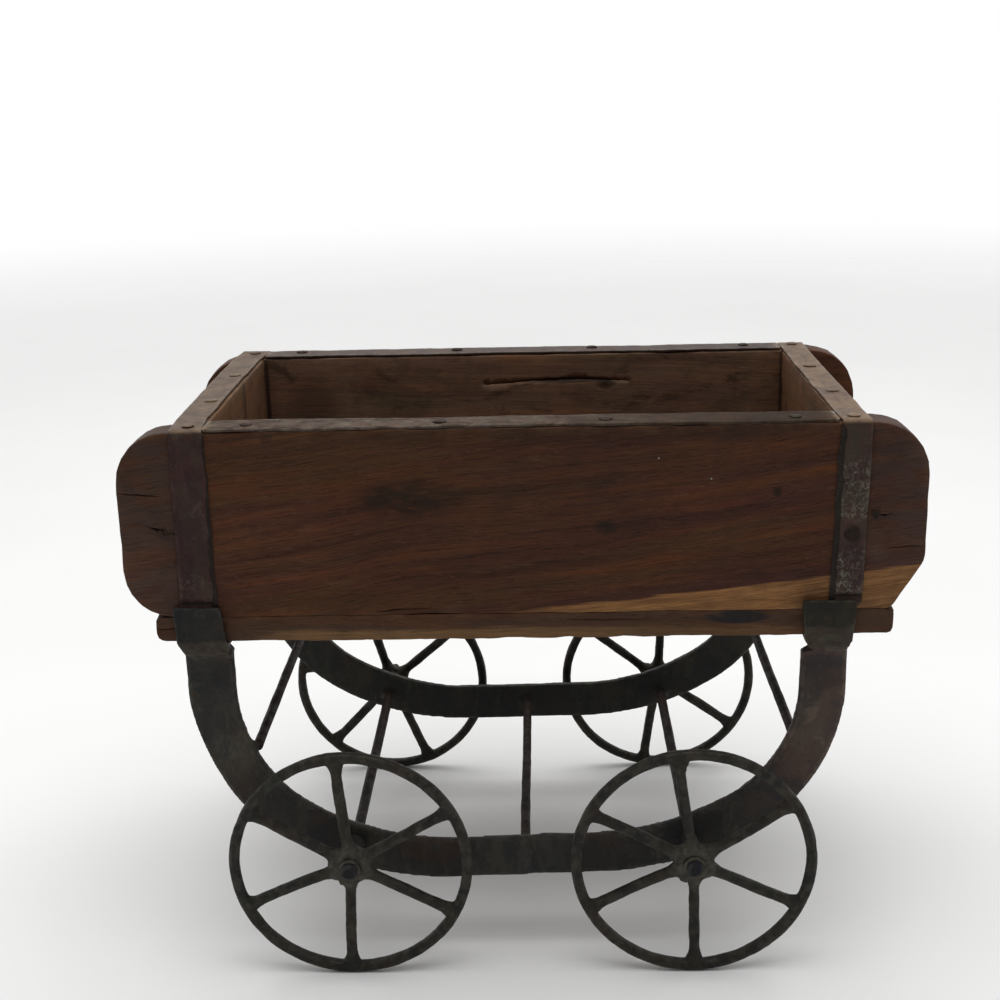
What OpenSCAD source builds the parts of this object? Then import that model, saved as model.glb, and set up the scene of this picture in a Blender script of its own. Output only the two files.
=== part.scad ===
// Planter cart: an old wooden brick mould, bound with iron straps, on a small
// four-wheeled iron carriage. Millimetres. +X is along the cart, in the rolling
// direction, +Y is across it and +Z is up. The origin is on the ground, under
// the middle of the cart. The front is the side at -Y.

/* [Mould] */
// Inside length of the mould, end board to end board
cavity_len = 254; // [240:1:264]
// Inside width of the mould, side board to side board
cavity_wid = 133; // [127:1:139]
// Height of the side and end boards
board_h = 78.5; // [74:0.5:84]
// Thickness of each long side board
side_t = 16; // [14:0.5:18]
// Thickness of each end board
end_t = 12.5; // [11:0.5:14]
// Thickness of the base board
base_t = 11.5; // [10:0.5:14]
// Whole length of a side board over its two ears
side_len = 327; // [322:1:336]
// How much shorter the left ear of the rear board is than the others
rear_ear_cut = 5.5; // [0:0.5:8]
// Length of the base board
base_len = 304.5; // [298:0.5:310]
// Height of the underside of the base board above the ground
deck_z = 149; // [145:1:155]
// Radius of the top corners of the ears
ear_top_r = 22; // [16:1:23]
// Radius of the rounded bottom corner of the ears
ear_low_r = 20; // [12:1:22]
// Size of the sawn-off bottom corner at the other end
ear_chamfer = 13; // [8:1:16]
// Radius worn on the bottom corners of the base board
base_r = 3.5; // [2:0.5:5]
// Height of the raised stock on the base board, which fills the cavity's floor
stock_h = 1; // [0.5:0.5:3]
// Place of the mould's middle across the cart, ahead of the carriage's middle
mould_y = -2.5; // [-4:0.5:0]

/* [Straps] */
// Thickness of the strap iron
strap_t = 1.2; // [1:0.1:1.6]
// Width of the straps that go over the end boards
strap_w = 12.5; // [11:0.5:12.5]
// Width across the head of a strip nail
nail_head_d = 6; // [5:0.5:7]
// Height of a nail head
nail_head_h = 0.7; // [0.5:0.1:1]
// Width of a nail's square shank
nail_w = 1.8; // [1.4:0.1:2.2]

/* [Carriage] */
// Place of the hoops' middle along the cart
carriage_shift = -3; // [-4:0.5:4]
// Width of the flat bar of the hoops
bar_w = 19; // [17:1:21]
// Thickness of the flat bar
bar_t = 3.5; // [3:0.5:4.5]
// Width of a hoop over the outside of its arms
hoop_span = 276; // [270:1:280]
// Height of the lowest edge of the front hoop
hoop_low_z = 37.5; // [36:0.5:40]
// How much higher the lowest edge of the rear hoop is
rear_lift = 2; // [0:0.5:2.5]
// Outer face of the front hoop, behind the mould's front face
front_setback = 5.5; // [3:0.5:7]
// Inner face of the rear hoop, in front of the mould's rear face
rear_setback = 2.5; // [2.5:0.5:7]
// Diameter of the cross rods
rod_d = 4.6; // [4:0.1:5.2]
// Place of the centre rod along the cart
centre_rod_x = -0.5; // [-4:0.5:4]
// Distance of the left side rod from the hoops' middle
left_rod_reach = 112; // [112:0.5:118]
// Distance of the right side rod from the hoops' middle
right_rod_reach = 118.5; // [113:0.5:119]
// Height of the side rods
side_rod_z = 97.5; // [95:0.5:100]

/* [Brackets] */
// Width of a bracket
bracket_w = 21.5; // [20:0.5:23]
// Height that a bracket stands up the side of the mould
bracket_h = 16.5; // [14:0.5:20]
// Length of the bracket's foot under the base board
bracket_foot = 25; // [22:1:28]
// Thickness of the bracket plate
bracket_t = 2; // [1.6:0.1:2.4]

/* [Wheels] */
// Outside diameter of a wheel
wheel_d = 104; // [100:1:106]
// Distance between the axles
wheelbase = 145.5; // [136:0.5:150]
// Place of the middle between the axles along the cart
axle_shift = -2; // [-4:0.5:4]
// Distance between the middle planes of the front and rear wheels
track = 194; // [192:1:198]
// Diameter of the axles
axle_d = 5; // [4.6:0.1:5.4]
// Radial thickness of the rim
rim_t = 4.5; // [4:0.1:5]
// Width of the rim
rim_w = 5; // [4.5:0.1:5.5]
// Diameter of the spokes
spoke_d = 4.6; // [4:0.1:5]
// Number of spokes
spoke_count = 6; // [6:1:6]
// Outside diameter of the hub
hub_d = 12.4; // [12:0.2:13]
// Length of the hub
hub_len = 9; // [8:0.5:10]
// Running clearance between hub and axle, on the radius
hub_fit = 0.06; // [0.03:0.01:0.1]

/* [Hidden] */
$fn = 96;
over = 1;                                  // how far a cutter runs past a face
mould_wid = cavity_wid + 2 * side_t;
face_y = mould_wid / 2;                    // outer face of the side boards
floor_z = deck_z + base_t;                 // top of the base board, under the boards
rim_z = floor_z + board_h;                 // top edge of the boards
inner_x = cavity_len / 2;
side_mid_y = (cavity_wid + side_t) / 2;    // middle of a side board's thickness
strap_mid_x = inner_x + strap_w / 2;
strap_end_z = deck_z + 2;                  // where a strap's drop ends

// Outer and inner edge of a strap's drop, outboard of the strap's middle: at
// the rim, then at the foot
half_strap = strap_w / 2;
left_drop = [[half_strap - 1, -half_strap - 1], [half_strap + 1, -half_strap - 1]];
right_drop = [[half_strap + 0.5, -half_strap + 0.5], [half_strap - 1, -half_strap - 1]];

// Strip and strap nails
strip_nail_x = [-110, -32, 35, 110];
strip_nail_y = side_mid_y + 1.5;
strap_nail_y = [-76, -31, 22, 76];
nail_len = 22;
drop_nail_z = 193;
drop_nail_d = 7;
base_nail_x = [-100, -34, 34, 100];
corner_nail_z = [floor_z + 20, floor_z + 51];
corner_nail_len = 34;
corner_head_d = 4;
corner_head_h = 1.2;

// Nail stubs left in the ears by earlier repairs
stub_w = 1.2;
stub_depth = 8;
left_stub = [-146.3, 198];
left_stub_tail = 6;
left_stub_droop = 17;
right_stub = [142, 201];

// Hoops. The outline of a hoop's outer edge runs flat, then in a wide arc,
// then in a tighter arc into the upright arm.
front_hoop_y = mould_y - face_y + front_setback;   // outer face of the front hoop
rear_hoop_y = mould_y + face_y - rear_setback;     // inner face of the rear hoop
hoop_wide_r = 134;
hoop_tight_r = 80;
hoop_wide_angle = 30;
hoop_flat = hoop_span / 2 - hoop_tight_r   // half the straight stretch below
    - (hoop_wide_r - hoop_tight_r) * sin(hoop_wide_angle);
hoop_top_z = deck_z - bracket_t;
wide_centre = [hoop_flat, hoop_low_z + hoop_wide_r];
tight_centre = wide_centre + (hoop_wide_r - hoop_tight_r)
    * [sin(hoop_wide_angle), -cos(hoop_wide_angle)];
arm_mid = hoop_span / 2 - bar_w / 2;
centre_rod_z = hoop_low_z + bar_w / 2;
rod_play = 0.1;                            // clearance of rods in the hoops
weld_r = 4.4;
weld_h = 2.2;
arm_weld_r = 2.6;
arm_weld_len = 17;

// Brackets
screw_y = face_y - 17;
screw_d = 3.4;
screw_len = 9;
screw_head_d = 7;
screw_head_h = 1.8;
slot_w = 1;
strap_face_y = face_y + strap_t;

// Wheels, seen from the front: [name side of the cart, turn of the spokes]
wheel_r = wheel_d / 2;
rim_in_r = wheel_r - rim_t;
collar_r = 8.6;                            // weld collar where the spokes meet
collar_w = 5.4;
spoke_weld_len = 3.6;
spoke_weld_r = 3.5;
spoke_wander = [6, 1, 3, -1, -6, 0];       // the jig's error, spoke by spoke
side_gap = 0.4;                            // play of the hub along the axle
hub_out_y = track / 2 + hub_len / 2 - 0.3;
hub_in_y = hub_out_y - hub_len;
washer_t = 1;
washer_d = 9.5;
sleeve_d = 9;
axle_head_d = 7.6;
axle_head_h = 1.8;
left_x = axle_shift - wheelbase / 2;
right_x = axle_shift + wheelbase / 2;

wood = "#5a3222";
pale_wood = "#6d4630";
rust = "#6a5a50";
iron = "#3c3a36";
dark_iron = "#2e2c2a";

// Extrude an outline drawn in X and Z along +Y, from y0 for a length
module along_y(y0, length) {
    translate([0, y0 + length, 0]) rotate([90, 0, 0]) linear_extrude(length) children();
}

// Extrude an outline drawn in Y and Z along +X, from x0 for a length
module along_x(x0, length) {
    translate([x0, 0, 0]) rotate([90, 0, 90]) linear_extrude(length) children();
}

// Everything that is fixed to the mould is drawn about the mould's own middle
module at_mould() {
    translate([0, mould_y, 0]) children();
}

// A round bar or hole along Y, from y0 to y1
module y_bar(x, z, d, y0, y1) {
    translate([x, y1, z]) rotate([90, 0, 0]) cylinder(h = y1 - y0, d = d);
}

// The waste that rounds off an outline's corner at the origin
module corner_waste(r) {
    difference() {
        translate([-over, -over]) square(r + over);
        translate([r, r]) circle(r);
    }
}

// A nail with a square shank and a low domed head, pointing down from the
// origin, where the head's flat underside is
module nail(head_d, head_h, length) {
    dome_r = (head_d * head_d / 4 + head_h * head_h) / (2 * head_h);
    intersection() {
        translate([0, 0, head_h - dome_r]) sphere(dome_r);
        cylinder(h = head_h + over, d = head_d);
    }
    nail_shank(length);
}

module nail_shank(length) {
    translate([-nail_w / 2, -nail_w / 2, -length]) cube([nail_w, nail_w, length]);
}

// ---- Wooden mould ----

module side_outline(left_cut) {
    left_end = left_cut - side_len / 2;
    difference() {
        translate([left_end, floor_z]) square([side_len - left_cut, board_h]);
        translate([left_end, rim_z]) mirror([0, 1]) corner_waste(ear_top_r);
        translate([side_len / 2, rim_z]) rotate(180) corner_waste(ear_top_r);
        translate([left_end, floor_z]) corner_waste(ear_low_r);
        translate([side_len / 2, floor_z])
            polygon([[-ear_chamfer, -over], [over, -over], [over, ear_chamfer + 8], [0, ear_chamfer + 8],
                [-ear_chamfer, 0]]);
    }
}

// Places of the nails, shared by the boards, the irons and the nails
module at_strip_nails(y) {
    for (x = strip_nail_x) translate([x, y, rim_z + strap_t]) children();
}

module at_strap_nails(x) {
    for (y = strap_nail_y) translate([x, y, rim_z + strap_t]) children();
}

module at_base_nails() {
    for (x = base_nail_x, y = [-side_mid_y, side_mid_y])
        translate([x, y, deck_z]) rotate([180, 0, 0]) children();
}

// side is -1 for the front and 1 for the rear
module at_corner_nails(side) {
    for (x = [-1, 1], z = corner_nail_z)
        translate([x * (inner_x + end_t / 2), side * face_y, z]) rotate([-90 * side, 0, 0]) children();
}

module at_drop_nails(places) {
    for (p = places)
        translate([p[0] * strap_mid_x, p[1] * (face_y + strap_t), drop_nail_z])
            rotate([-90 * p[1], 0, 0]) children();
}

module at_left_stub() {
    translate([left_stub[0], -face_y, left_stub[1]]) children();
}

module at_right_stub() {
    translate([right_stub[0], -face_y, right_stub[1]]) children();
}

front_drop_nails = [[1, -1]];
rear_drop_nails = [[-1, 1], [1, 1]];

// Everything that is let into a side board
module side_board_holes(side) {
    at_strip_nails(side * strip_nail_y) nail_shank(nail_len);
    for (x = [-strap_mid_x, strap_mid_x]) at_strap_nails(x) nail_shank(nail_len);
    at_base_nails() nail_shank(nail_len + base_t);
    at_corner_nails(side) corner_nail_hole();
    at_drop_nails(side < 0 ? front_drop_nails : rear_drop_nails) nail_shank(corner_nail_len);
}

module corner_nail_hole() {
    translate([0, 0, -corner_head_h])
        translate([-corner_head_d / 2, -corner_head_d / 2, 0])
            cube([corner_head_d, corner_head_d, corner_head_h + over]);
    nail_shank(corner_nail_len);
}

module side_board(side) {
    color(wood) at_mould() difference() {
        along_y(side < 0 ? -face_y : cavity_wid / 2, side_t) side_outline(side < 0 ? 0 : rear_ear_cut);
        side_board_holes(side);
        if (side < 0) {
            at_left_stub() translate([-stub_w / 2, 0, -stub_w / 2]) cube([stub_w, stub_depth, stub_w]);
            at_right_stub() translate([-stub_w / 2, 0, -stub_w / 2]) cube([stub_w, stub_depth, stub_w]);
        }
    }
}

module side_board_front() { side_board(-1); }

module side_board_rear() { side_board(1); }

module end_board(side) {
    color(wood) at_mould() difference() {
        translate([side < 0 ? -inner_x - end_t : inner_x, -cavity_wid / 2, floor_z])
            cube([end_t, cavity_wid, board_h]);
        at_strap_nails(side * strap_mid_x) nail_shank(nail_len);
        for (s = [-1, 1]) at_corner_nails(s) nail_shank(corner_nail_len);
        at_drop_nails(front_drop_nails) nail_shank(corner_nail_len);
        at_drop_nails(rear_drop_nails) nail_shank(corner_nail_len);
    }
}

module end_board_left() { end_board(-1); }

module end_board_right() { end_board(1); }

module base_outline() {
    difference() {
        translate([-base_len / 2, deck_z]) square([base_len, base_t]);
        translate([-base_len / 2, deck_z]) corner_waste(base_r);
        translate([base_len / 2, deck_z]) mirror([1, 0]) corner_waste(base_r);
    }
}

module base_board() {
    color(pale_wood) at_mould() difference() {
        union() {
            along_y(-face_y, mould_wid) base_outline();
            translate([-inner_x, -cavity_wid / 2, floor_z - over])
                cube([cavity_len, cavity_wid, stock_h + over]);
        }
        at_base_nails() nail_shank(nail_len + base_t);
        at_bracket_screws() cylinder(h = screw_len, d = screw_d);
    }
}

// ---- Iron on the mould ----

module top_strip(side) {
    color(rust) at_mould() difference() {
        translate([-inner_x, side < 0 ? -face_y : cavity_wid / 2, rim_z])
            cube([cavity_len, side_t, strap_t]);
        at_strip_nails(side * strip_nail_y) nail_shank(nail_len);
    }
}

module top_strip_front() { top_strip(-1); }

module top_strip_rear() { top_strip(1); }

// The top of a strap, across the end board, with the bends over both faces
module strap_outline() {
    top_z = rim_z + strap_t;
    difference() {
        translate([-strap_face_y, rim_z]) square([2 * strap_face_y, strap_t]);
        translate([-strap_face_y, top_z]) mirror([0, 1]) corner_waste(strap_t);
        translate([strap_face_y, top_z]) rotate(180) corner_waste(strap_t);
    }
}

// The drop of a strap down a face of the mould, in X and Z
module drop_outline(side) {
    edges = side < 0 ? left_drop : right_drop;
    polygon([
        [side * (strap_mid_x + edges[0][0]), rim_z],
        [side * (strap_mid_x + edges[0][1]), rim_z],
        [side * (strap_mid_x + edges[1][1]), strap_end_z],
        [side * (strap_mid_x + edges[1][0]), strap_end_z]]);
}

module end_strap(side) {
    color(rust) at_mould() difference() {
        union() {
            along_x(side < 0 ? -inner_x - strap_w : inner_x, strap_w) strap_outline();
            along_y(-strap_face_y, strap_t) drop_outline(side);
            along_y(face_y, strap_t) drop_outline(side);
        }
        at_strap_nails(side * strap_mid_x) nail_shank(nail_len);
        at_drop_nails(front_drop_nails) nail_shank(corner_nail_len);
        at_drop_nails(rear_drop_nails) nail_shank(corner_nail_len);
    }
}

module end_strap_left() { end_strap(-1); }

module end_strap_right() { end_strap(1); }

module strip_nails_front() {
    color(dark_iron) at_mould() at_strip_nails(-strip_nail_y) nail(nail_head_d, nail_head_h, nail_len);
}

module strip_nails_rear() {
    color(dark_iron) at_mould() at_strip_nails(strip_nail_y) nail(nail_head_d, nail_head_h, nail_len);
}

module strap_nails_left() {
    color(dark_iron) at_mould() at_strap_nails(-strap_mid_x) nail(nail_head_d, nail_head_h, nail_len);
}

module strap_nails_right() {
    color(dark_iron) at_mould() at_strap_nails(strap_mid_x) nail(nail_head_d, nail_head_h, nail_len);
}

module drop_nails() {
    color(dark_iron) at_mould() at_drop_nails(concat(front_drop_nails, rear_drop_nails))
        nail(drop_nail_d, nail_head_h, corner_nail_len);
}

module corner_nail() {
    translate([-corner_head_d / 2, -corner_head_d / 2, -corner_head_h])
        cube([corner_head_d, corner_head_d, corner_head_h]);
    nail_shank(corner_nail_len);
}

module corner_nails() {
    color(dark_iron) at_mould() for (s = [-1, 1]) at_corner_nails(s) corner_nail();
}

module base_nails() {
    color(dark_iron) at_mould() at_base_nails() nail(nail_head_d, nail_head_h, nail_len + base_t);
}

// A stub bent over sideways onto the board, and a stub that stands straight out
module stub_nails() {
    proud = 1.6;
    color(dark_iron) at_mould() {
        at_left_stub() {
            translate([-stub_w / 2, -proud, -stub_w / 2]) cube([stub_w, proud + stub_depth, stub_w]);
            rotate([0, left_stub_droop, 0]) translate([-stub_w / 2, -proud, -stub_w / 2])
                cube([left_stub_tail, stub_w, stub_w]);
        }
        at_right_stub() {
            translate([-stub_w / 2, -proud, -stub_w / 2]) cube([stub_w, proud + stub_depth, stub_w]);
            translate([0, -proud, 0]) rotate([90, 0, 0]) cylinder(h = nail_head_h, d = 3.6);
        }
    }
}

// ---- Hoops, brackets and rods ----

// Everything inside one edge of a hoop; inset is 0 for the outer edge and the
// bar's width for the inner edge
module hoop_edge(inset) {
    wide_r = hoop_wide_r - inset;
    tight_r = hoop_tight_r - inset;
    reach = 2 * hoop_wide_r;
    half = hoop_span / 2 - inset;
    low = hoop_low_z + inset;
    height = hoop_top_z + over - tight_centre[1];
    for (m = [0, 1]) mirror([m, 0]) {
        translate(tight_centre) circle(tight_r);
        intersection() {
            translate(wide_centre) circle(wide_r);
            translate(wide_centre)
                polygon([[0, 0], [0, -reach], reach * [sin(hoop_wide_angle), -cos(hoop_wide_angle)]]);
        }
    }
    translate([-half, tight_centre[1]]) square([2 * half, height]);
    translate([-hoop_flat, low]) square([2 * hoop_flat, tight_centre[1] - low + over]);
}

module hoop_outline(lift) {
    difference() {
        translate([0, lift]) difference() {
            hoop_edge(0);
            hoop_edge(bar_w);
        }
        translate([-hoop_span, hoop_top_z]) square([2 * hoop_span, 2 * hoop_span]);
    }
}

module hoop(y0, lift) {
    y1 = y0 + bar_t;
    color(iron) difference() {
        translate([carriage_shift, 0, 0]) along_y(y0, bar_t) hoop_outline(lift);
        y_bar(centre_rod_x, centre_rod_z, rod_d + 2 * rod_play, y0 - over, y1 + over);
        for (x = [left_x, right_x])
            y_bar(x, wheel_r, axle_d + 2 * rod_play, y0 - over, y1 + over);
    }
}

module hoop_front() { hoop(front_hoop_y, 0); }

module hoop_rear() { hoop(rear_hoop_y, rear_lift); }

// side_x is -1 for the left and 1 for the right, side_y is -1 for the front
module bracket(side_x, side_y) {
    mid_x = carriage_shift + side_x * arm_mid;
    color(iron) at_mould() difference() {
        translate([mid_x - bracket_w / 2, 0, 0]) mirror([0, side_y < 0 ? 1 : 0, 0])
            along_x(0, bracket_w) polygon([
                [strap_face_y, deck_z],
                [strap_face_y, deck_z + bracket_h],
                [strap_face_y + bracket_t, deck_z + bracket_h],
                [strap_face_y + bracket_t, deck_z - bracket_t],
                [strap_face_y + bracket_t - bracket_foot, deck_z - bracket_t],
                [strap_face_y + bracket_t - bracket_foot, deck_z]]);
        at_bracket_screws() translate([0, 0, -bracket_t - over])
            cylinder(h = bracket_t + 2 * over, d = screw_d);
    }
}

module bracket_front_left() { bracket(-1, -1); }

module bracket_front_right() { bracket(1, -1); }

module bracket_rear_left() { bracket(-1, 1); }

module bracket_rear_right() { bracket(1, 1); }

module at_bracket_screws() {
    for (x = [-arm_mid, arm_mid], y = [-screw_y, screw_y])
        translate([carriage_shift + x, y, deck_z]) children();
}

module bracket_screws() {
    color(dark_iron) at_mould() at_bracket_screws() {
        translate([0, 0, -bracket_t]) cylinder(h = bracket_t + screw_len, d = screw_d - 2 * rod_play);
        difference() {
            translate([0, 0, -bracket_t - screw_head_h])
                cylinder(h = screw_head_h, d1 = screw_head_d - 2 * screw_head_h, d2 = screw_head_d);
            translate([-screw_head_d / 2, -slot_w / 2, -bracket_t - screw_head_h - over])
                cube([screw_head_d, slot_w, over + slot_w]);
        }
    }
}

// Weld beads along both faces of a hoop's arms, under the brackets' feet
module arm_welds(y0) {
    for (x = [-arm_mid, arm_mid], face = [0, 1])
        translate([carriage_shift + x - arm_weld_len / 2, y0 + face * bar_t, hoop_top_z])
            rotate([90, 0, 90]) linear_extrude(arm_weld_len) intersection() {
                circle(arm_weld_r);
                translate([face == 0 ? -arm_weld_r : 0, -arm_weld_r]) square(arm_weld_r);
            }
}

module arm_welds_front() { color(iron) arm_welds(front_hoop_y); }

module arm_welds_rear() { color(iron) arm_welds(rear_hoop_y); }

// The centre rod runs through both hoops; the side rods butt against them
module centre_rod() {
    color(iron) y_bar(centre_rod_x, centre_rod_z, rod_d,
        front_hoop_y - weld_h / 2, rear_hoop_y + bar_t + weld_h / 2);
}

module side_rod(x) {
    color(iron) y_bar(x, side_rod_z, rod_d, front_hoop_y + bar_t, rear_hoop_y);
}

module side_rod_left() { side_rod(carriage_shift - left_rod_reach); }

module side_rod_right() { side_rod(carriage_shift + right_rod_reach); }

// A conical weld bead round a rod; it stands on a face at y and tapers the way
// that dir points
module bead(x, z, d, y, dir) {
    hole_r = d / 2 + rod_play / 2;
    translate([x, y, z]) rotate([-90 * dir, 0, 0]) rotate_extrude()
        polygon([[hole_r, 0], [weld_r, 0], [weld_r - 1.2, weld_h * 0.7], [hole_r + 0.4, weld_h],
            [hole_r, weld_h]]);
}

module rod_welds(inner_y, inner_dir, outer_y) {
    color(iron) {
        bead(centre_rod_x, centre_rod_z, rod_d, inner_y, inner_dir);
        bead(centre_rod_x, centre_rod_z, rod_d, outer_y, -inner_dir);
        for (x = [carriage_shift - left_rod_reach, carriage_shift + right_rod_reach])
            bead(x, side_rod_z, rod_d, inner_y, inner_dir);
        for (x = [left_x, right_x]) bead(x, wheel_r, axle_d, inner_y, inner_dir);
    }
}

module rod_welds_front() { rod_welds(front_hoop_y + bar_t, 1, front_hoop_y); }

module rod_welds_rear() { rod_welds(rear_hoop_y, -1, rear_hoop_y + bar_t); }

// ---- Axles and wheels ----

washer_y = hub_out_y + side_gap;
head_y = washer_y + washer_t;

// An axle rod with both ends hammered over into low domes
module axle(x) {
    dome_r = (axle_head_d * axle_head_d / 4 + axle_head_h * axle_head_h) / (2 * axle_head_h);
    color(dark_iron) {
        y_bar(x, wheel_r, axle_d, -head_y, head_y);
        for (s = [-1, 1])
            translate([x, s * head_y, wheel_r]) rotate([-90 * s, 0, 0]) intersection() {
                translate([0, 0, axle_head_h - dome_r]) sphere(dome_r);
                cylinder(h = axle_head_h + over, d = axle_head_d);
            }
    }
}

module axle_left() { axle(left_x); }

module axle_right() { axle(right_x); }

// A ring round an axle, between two distances from the cart's middle
module axle_ring(x, side, d, y0, y1) {
    low = side < 0 ? -y1 : y0;
    difference() {
        y_bar(x, wheel_r, d, low, low + y1 - y0);
        y_bar(x, wheel_r, axle_d + 2 * rod_play, low - over, low + y1 - y0 + over);
    }
}

module sleeve(x, side) {
    hoop_face = side < 0 ? -front_hoop_y : rear_hoop_y + bar_t;
    color(iron) axle_ring(x, side, sleeve_d, hoop_face, hub_in_y - side_gap);
}

module sleeve_front_left() { sleeve(left_x, -1); }

module sleeve_front_right() { sleeve(right_x, -1); }

module sleeve_rear_left() { sleeve(left_x, 1); }

module sleeve_rear_right() { sleeve(right_x, 1); }

module washer(x, side) {
    color(dark_iron) axle_ring(x, side, washer_d, washer_y, head_y);
}

module washer_front_left() { washer(left_x, -1); }

module washer_front_right() { washer(right_x, -1); }

module washer_rear_left() { washer(left_x, 1); }

module washer_rear_right() { washer(right_x, 1); }

// Put a wheel's piece, drawn about the origin with its axle along Y, in place
module at_wheel(x, side) {
    translate([x, side * track / 2, wheel_r]) children();
}

module rim(x, side) {
    color(iron) at_wheel(x, side) rotate([90, 0, 0]) rotate_extrude($fn = 180)
        translate([wheel_r - rim_t / 2, 0]) intersection() {
            square([rim_t, rim_w], center = true);
            circle(rim_w * 0.6);
        }
}

module at_spokes(turn) {
    for (i = [0:spoke_count - 1])
        rotate([0, -(90 - i * 360 / spoke_count + spoke_wander[i] + turn), 0]) rotate([0, 90, 0]) children();
}

module spokes(x, side, turn) {
    color(iron) at_wheel(x, side) difference() {
        at_spokes(turn) translate([0, 0, collar_r - 2])
            cylinder(h = rim_in_r - spoke_weld_len - collar_r + 2, d = spoke_d);
        y_bar(0, 0, 2 * collar_r, -hub_len, hub_len);
    }
}

// The hub's middle lies a little inside the wheel's plane
module hub(x, side) {
    color(iron) difference() {
        y_bar(x, wheel_r, hub_d, side < 0 ? -hub_out_y : hub_in_y, side < 0 ? -hub_in_y : hub_out_y);
        y_bar(x, wheel_r, axle_d + 2 * hub_fit, -track, track);
    }
}

// The collar of weld round the hub, and the flared weld at each spoke's tip
module wheel_welds(x, side, turn) {
    color(iron) at_wheel(x, side) {
        difference() {
            y_bar(0, 0, 2 * collar_r, -collar_w / 2, collar_w / 2);
            y_bar(0, 0, hub_d, -hub_len, hub_len);
        }
        intersection() {
            at_spokes(turn) translate([0, 0, rim_in_r - spoke_weld_len])
                cylinder(h = spoke_weld_len + over, r1 = spoke_d / 2, r2 = spoke_weld_r);
            y_bar(0, 0, 2 * rim_in_r, -rim_w / 2, rim_w / 2);
        }
    }
}

front_left_turn = -1;
front_right_turn = 2;
rear_left_turn = 196;
rear_right_turn = -8;

module rim_front_left() { rim(left_x, -1); }

module spokes_front_left() { spokes(left_x, -1, front_left_turn); }

module hub_front_left() { hub(left_x, -1); }

module wheel_welds_front_left() { wheel_welds(left_x, -1, front_left_turn); }

module rim_front_right() { rim(right_x, -1); }

module spokes_front_right() { spokes(right_x, -1, front_right_turn); }

module hub_front_right() { hub(right_x, -1); }

module wheel_welds_front_right() { wheel_welds(right_x, -1, front_right_turn); }

module rim_rear_left() { rim(left_x, 1); }

module spokes_rear_left() { spokes(left_x, 1, rear_left_turn); }

module hub_rear_left() { hub(left_x, 1); }

module wheel_welds_rear_left() { wheel_welds(left_x, 1, rear_left_turn); }

module rim_rear_right() { rim(right_x, 1); }

module spokes_rear_right() { spokes(right_x, 1, rear_right_turn); }

module hub_rear_right() { hub(right_x, 1); }

module wheel_welds_rear_right() { wheel_welds(right_x, 1, rear_right_turn); }

side_board_front();
side_board_rear();
end_board_left();
end_board_right();
base_board();
top_strip_front();
top_strip_rear();
end_strap_left();
end_strap_right();
strip_nails_front();
strip_nails_rear();
strap_nails_left();
strap_nails_right();
drop_nails();
corner_nails();
base_nails();
stub_nails();
hoop_front();
hoop_rear();
bracket_front_left();
bracket_front_right();
bracket_rear_left();
bracket_rear_right();
bracket_screws();
arm_welds_front();
arm_welds_rear();
centre_rod();
side_rod_left();
side_rod_right();
rod_welds_front();
rod_welds_rear();
axle_left();
axle_right();
sleeve_front_left();
sleeve_front_right();
sleeve_rear_left();
sleeve_rear_right();
washer_front_left();
washer_front_right();
washer_rear_left();
washer_rear_right();
rim_front_left();
spokes_front_left();
hub_front_left();
wheel_welds_front_left();
rim_front_right();
spokes_front_right();
hub_front_right();
wheel_welds_front_right();
rim_rear_left();
spokes_rear_left();
hub_rear_left();
wheel_welds_rear_left();
rim_rear_right();
spokes_rear_right();
hub_rear_right();
wheel_welds_rear_right();
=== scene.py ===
"""The looks of the planter cart: an old wooden brick mould bound with iron straps,
on a small four-wheeled iron carriage. Every piece is built in millimetres in the
frame of the CAD model and rides on the CAD body it belongs to."""
import itertools
import math

import bmesh
import bpy
import numpy as np
from mathutils import Matrix, Vector
from mathutils.geometry import delaunay_2d_cdt


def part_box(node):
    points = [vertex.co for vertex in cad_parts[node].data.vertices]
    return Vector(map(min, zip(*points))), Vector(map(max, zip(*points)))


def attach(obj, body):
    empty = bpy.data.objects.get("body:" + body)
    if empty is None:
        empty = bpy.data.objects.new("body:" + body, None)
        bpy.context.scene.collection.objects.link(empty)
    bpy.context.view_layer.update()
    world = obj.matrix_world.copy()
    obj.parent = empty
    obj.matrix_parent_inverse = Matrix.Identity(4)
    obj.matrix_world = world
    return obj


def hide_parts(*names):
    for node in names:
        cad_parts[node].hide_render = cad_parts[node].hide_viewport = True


MM = 0.001
TURN = 2 * math.pi
SIDES = ("front", "rear")
HANDS = ("left", "right")
CORNERS = ["%s_%s" % (side, hand) for side in SIDES for hand in HANDS]

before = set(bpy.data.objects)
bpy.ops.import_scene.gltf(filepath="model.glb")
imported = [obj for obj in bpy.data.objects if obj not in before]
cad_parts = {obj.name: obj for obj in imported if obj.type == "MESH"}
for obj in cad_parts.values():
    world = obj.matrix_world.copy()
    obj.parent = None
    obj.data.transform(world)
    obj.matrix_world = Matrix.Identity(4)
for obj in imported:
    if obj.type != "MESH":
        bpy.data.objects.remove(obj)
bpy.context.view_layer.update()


def linked(name, data):
    obj = bpy.data.objects.new(name, data)
    bpy.context.scene.collection.objects.link(obj)
    return obj


CAMERA_PLACE = (0.00845, -0.6586, 0.3807)    # metres
CAMERA_YAW, CAMERA_PITCH, CAMERA_ROLL = 0.0287, 0.2905, -0.0228
CAMERA_LENS, CAMERA_SENSOR = 53.67, 36.0


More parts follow.
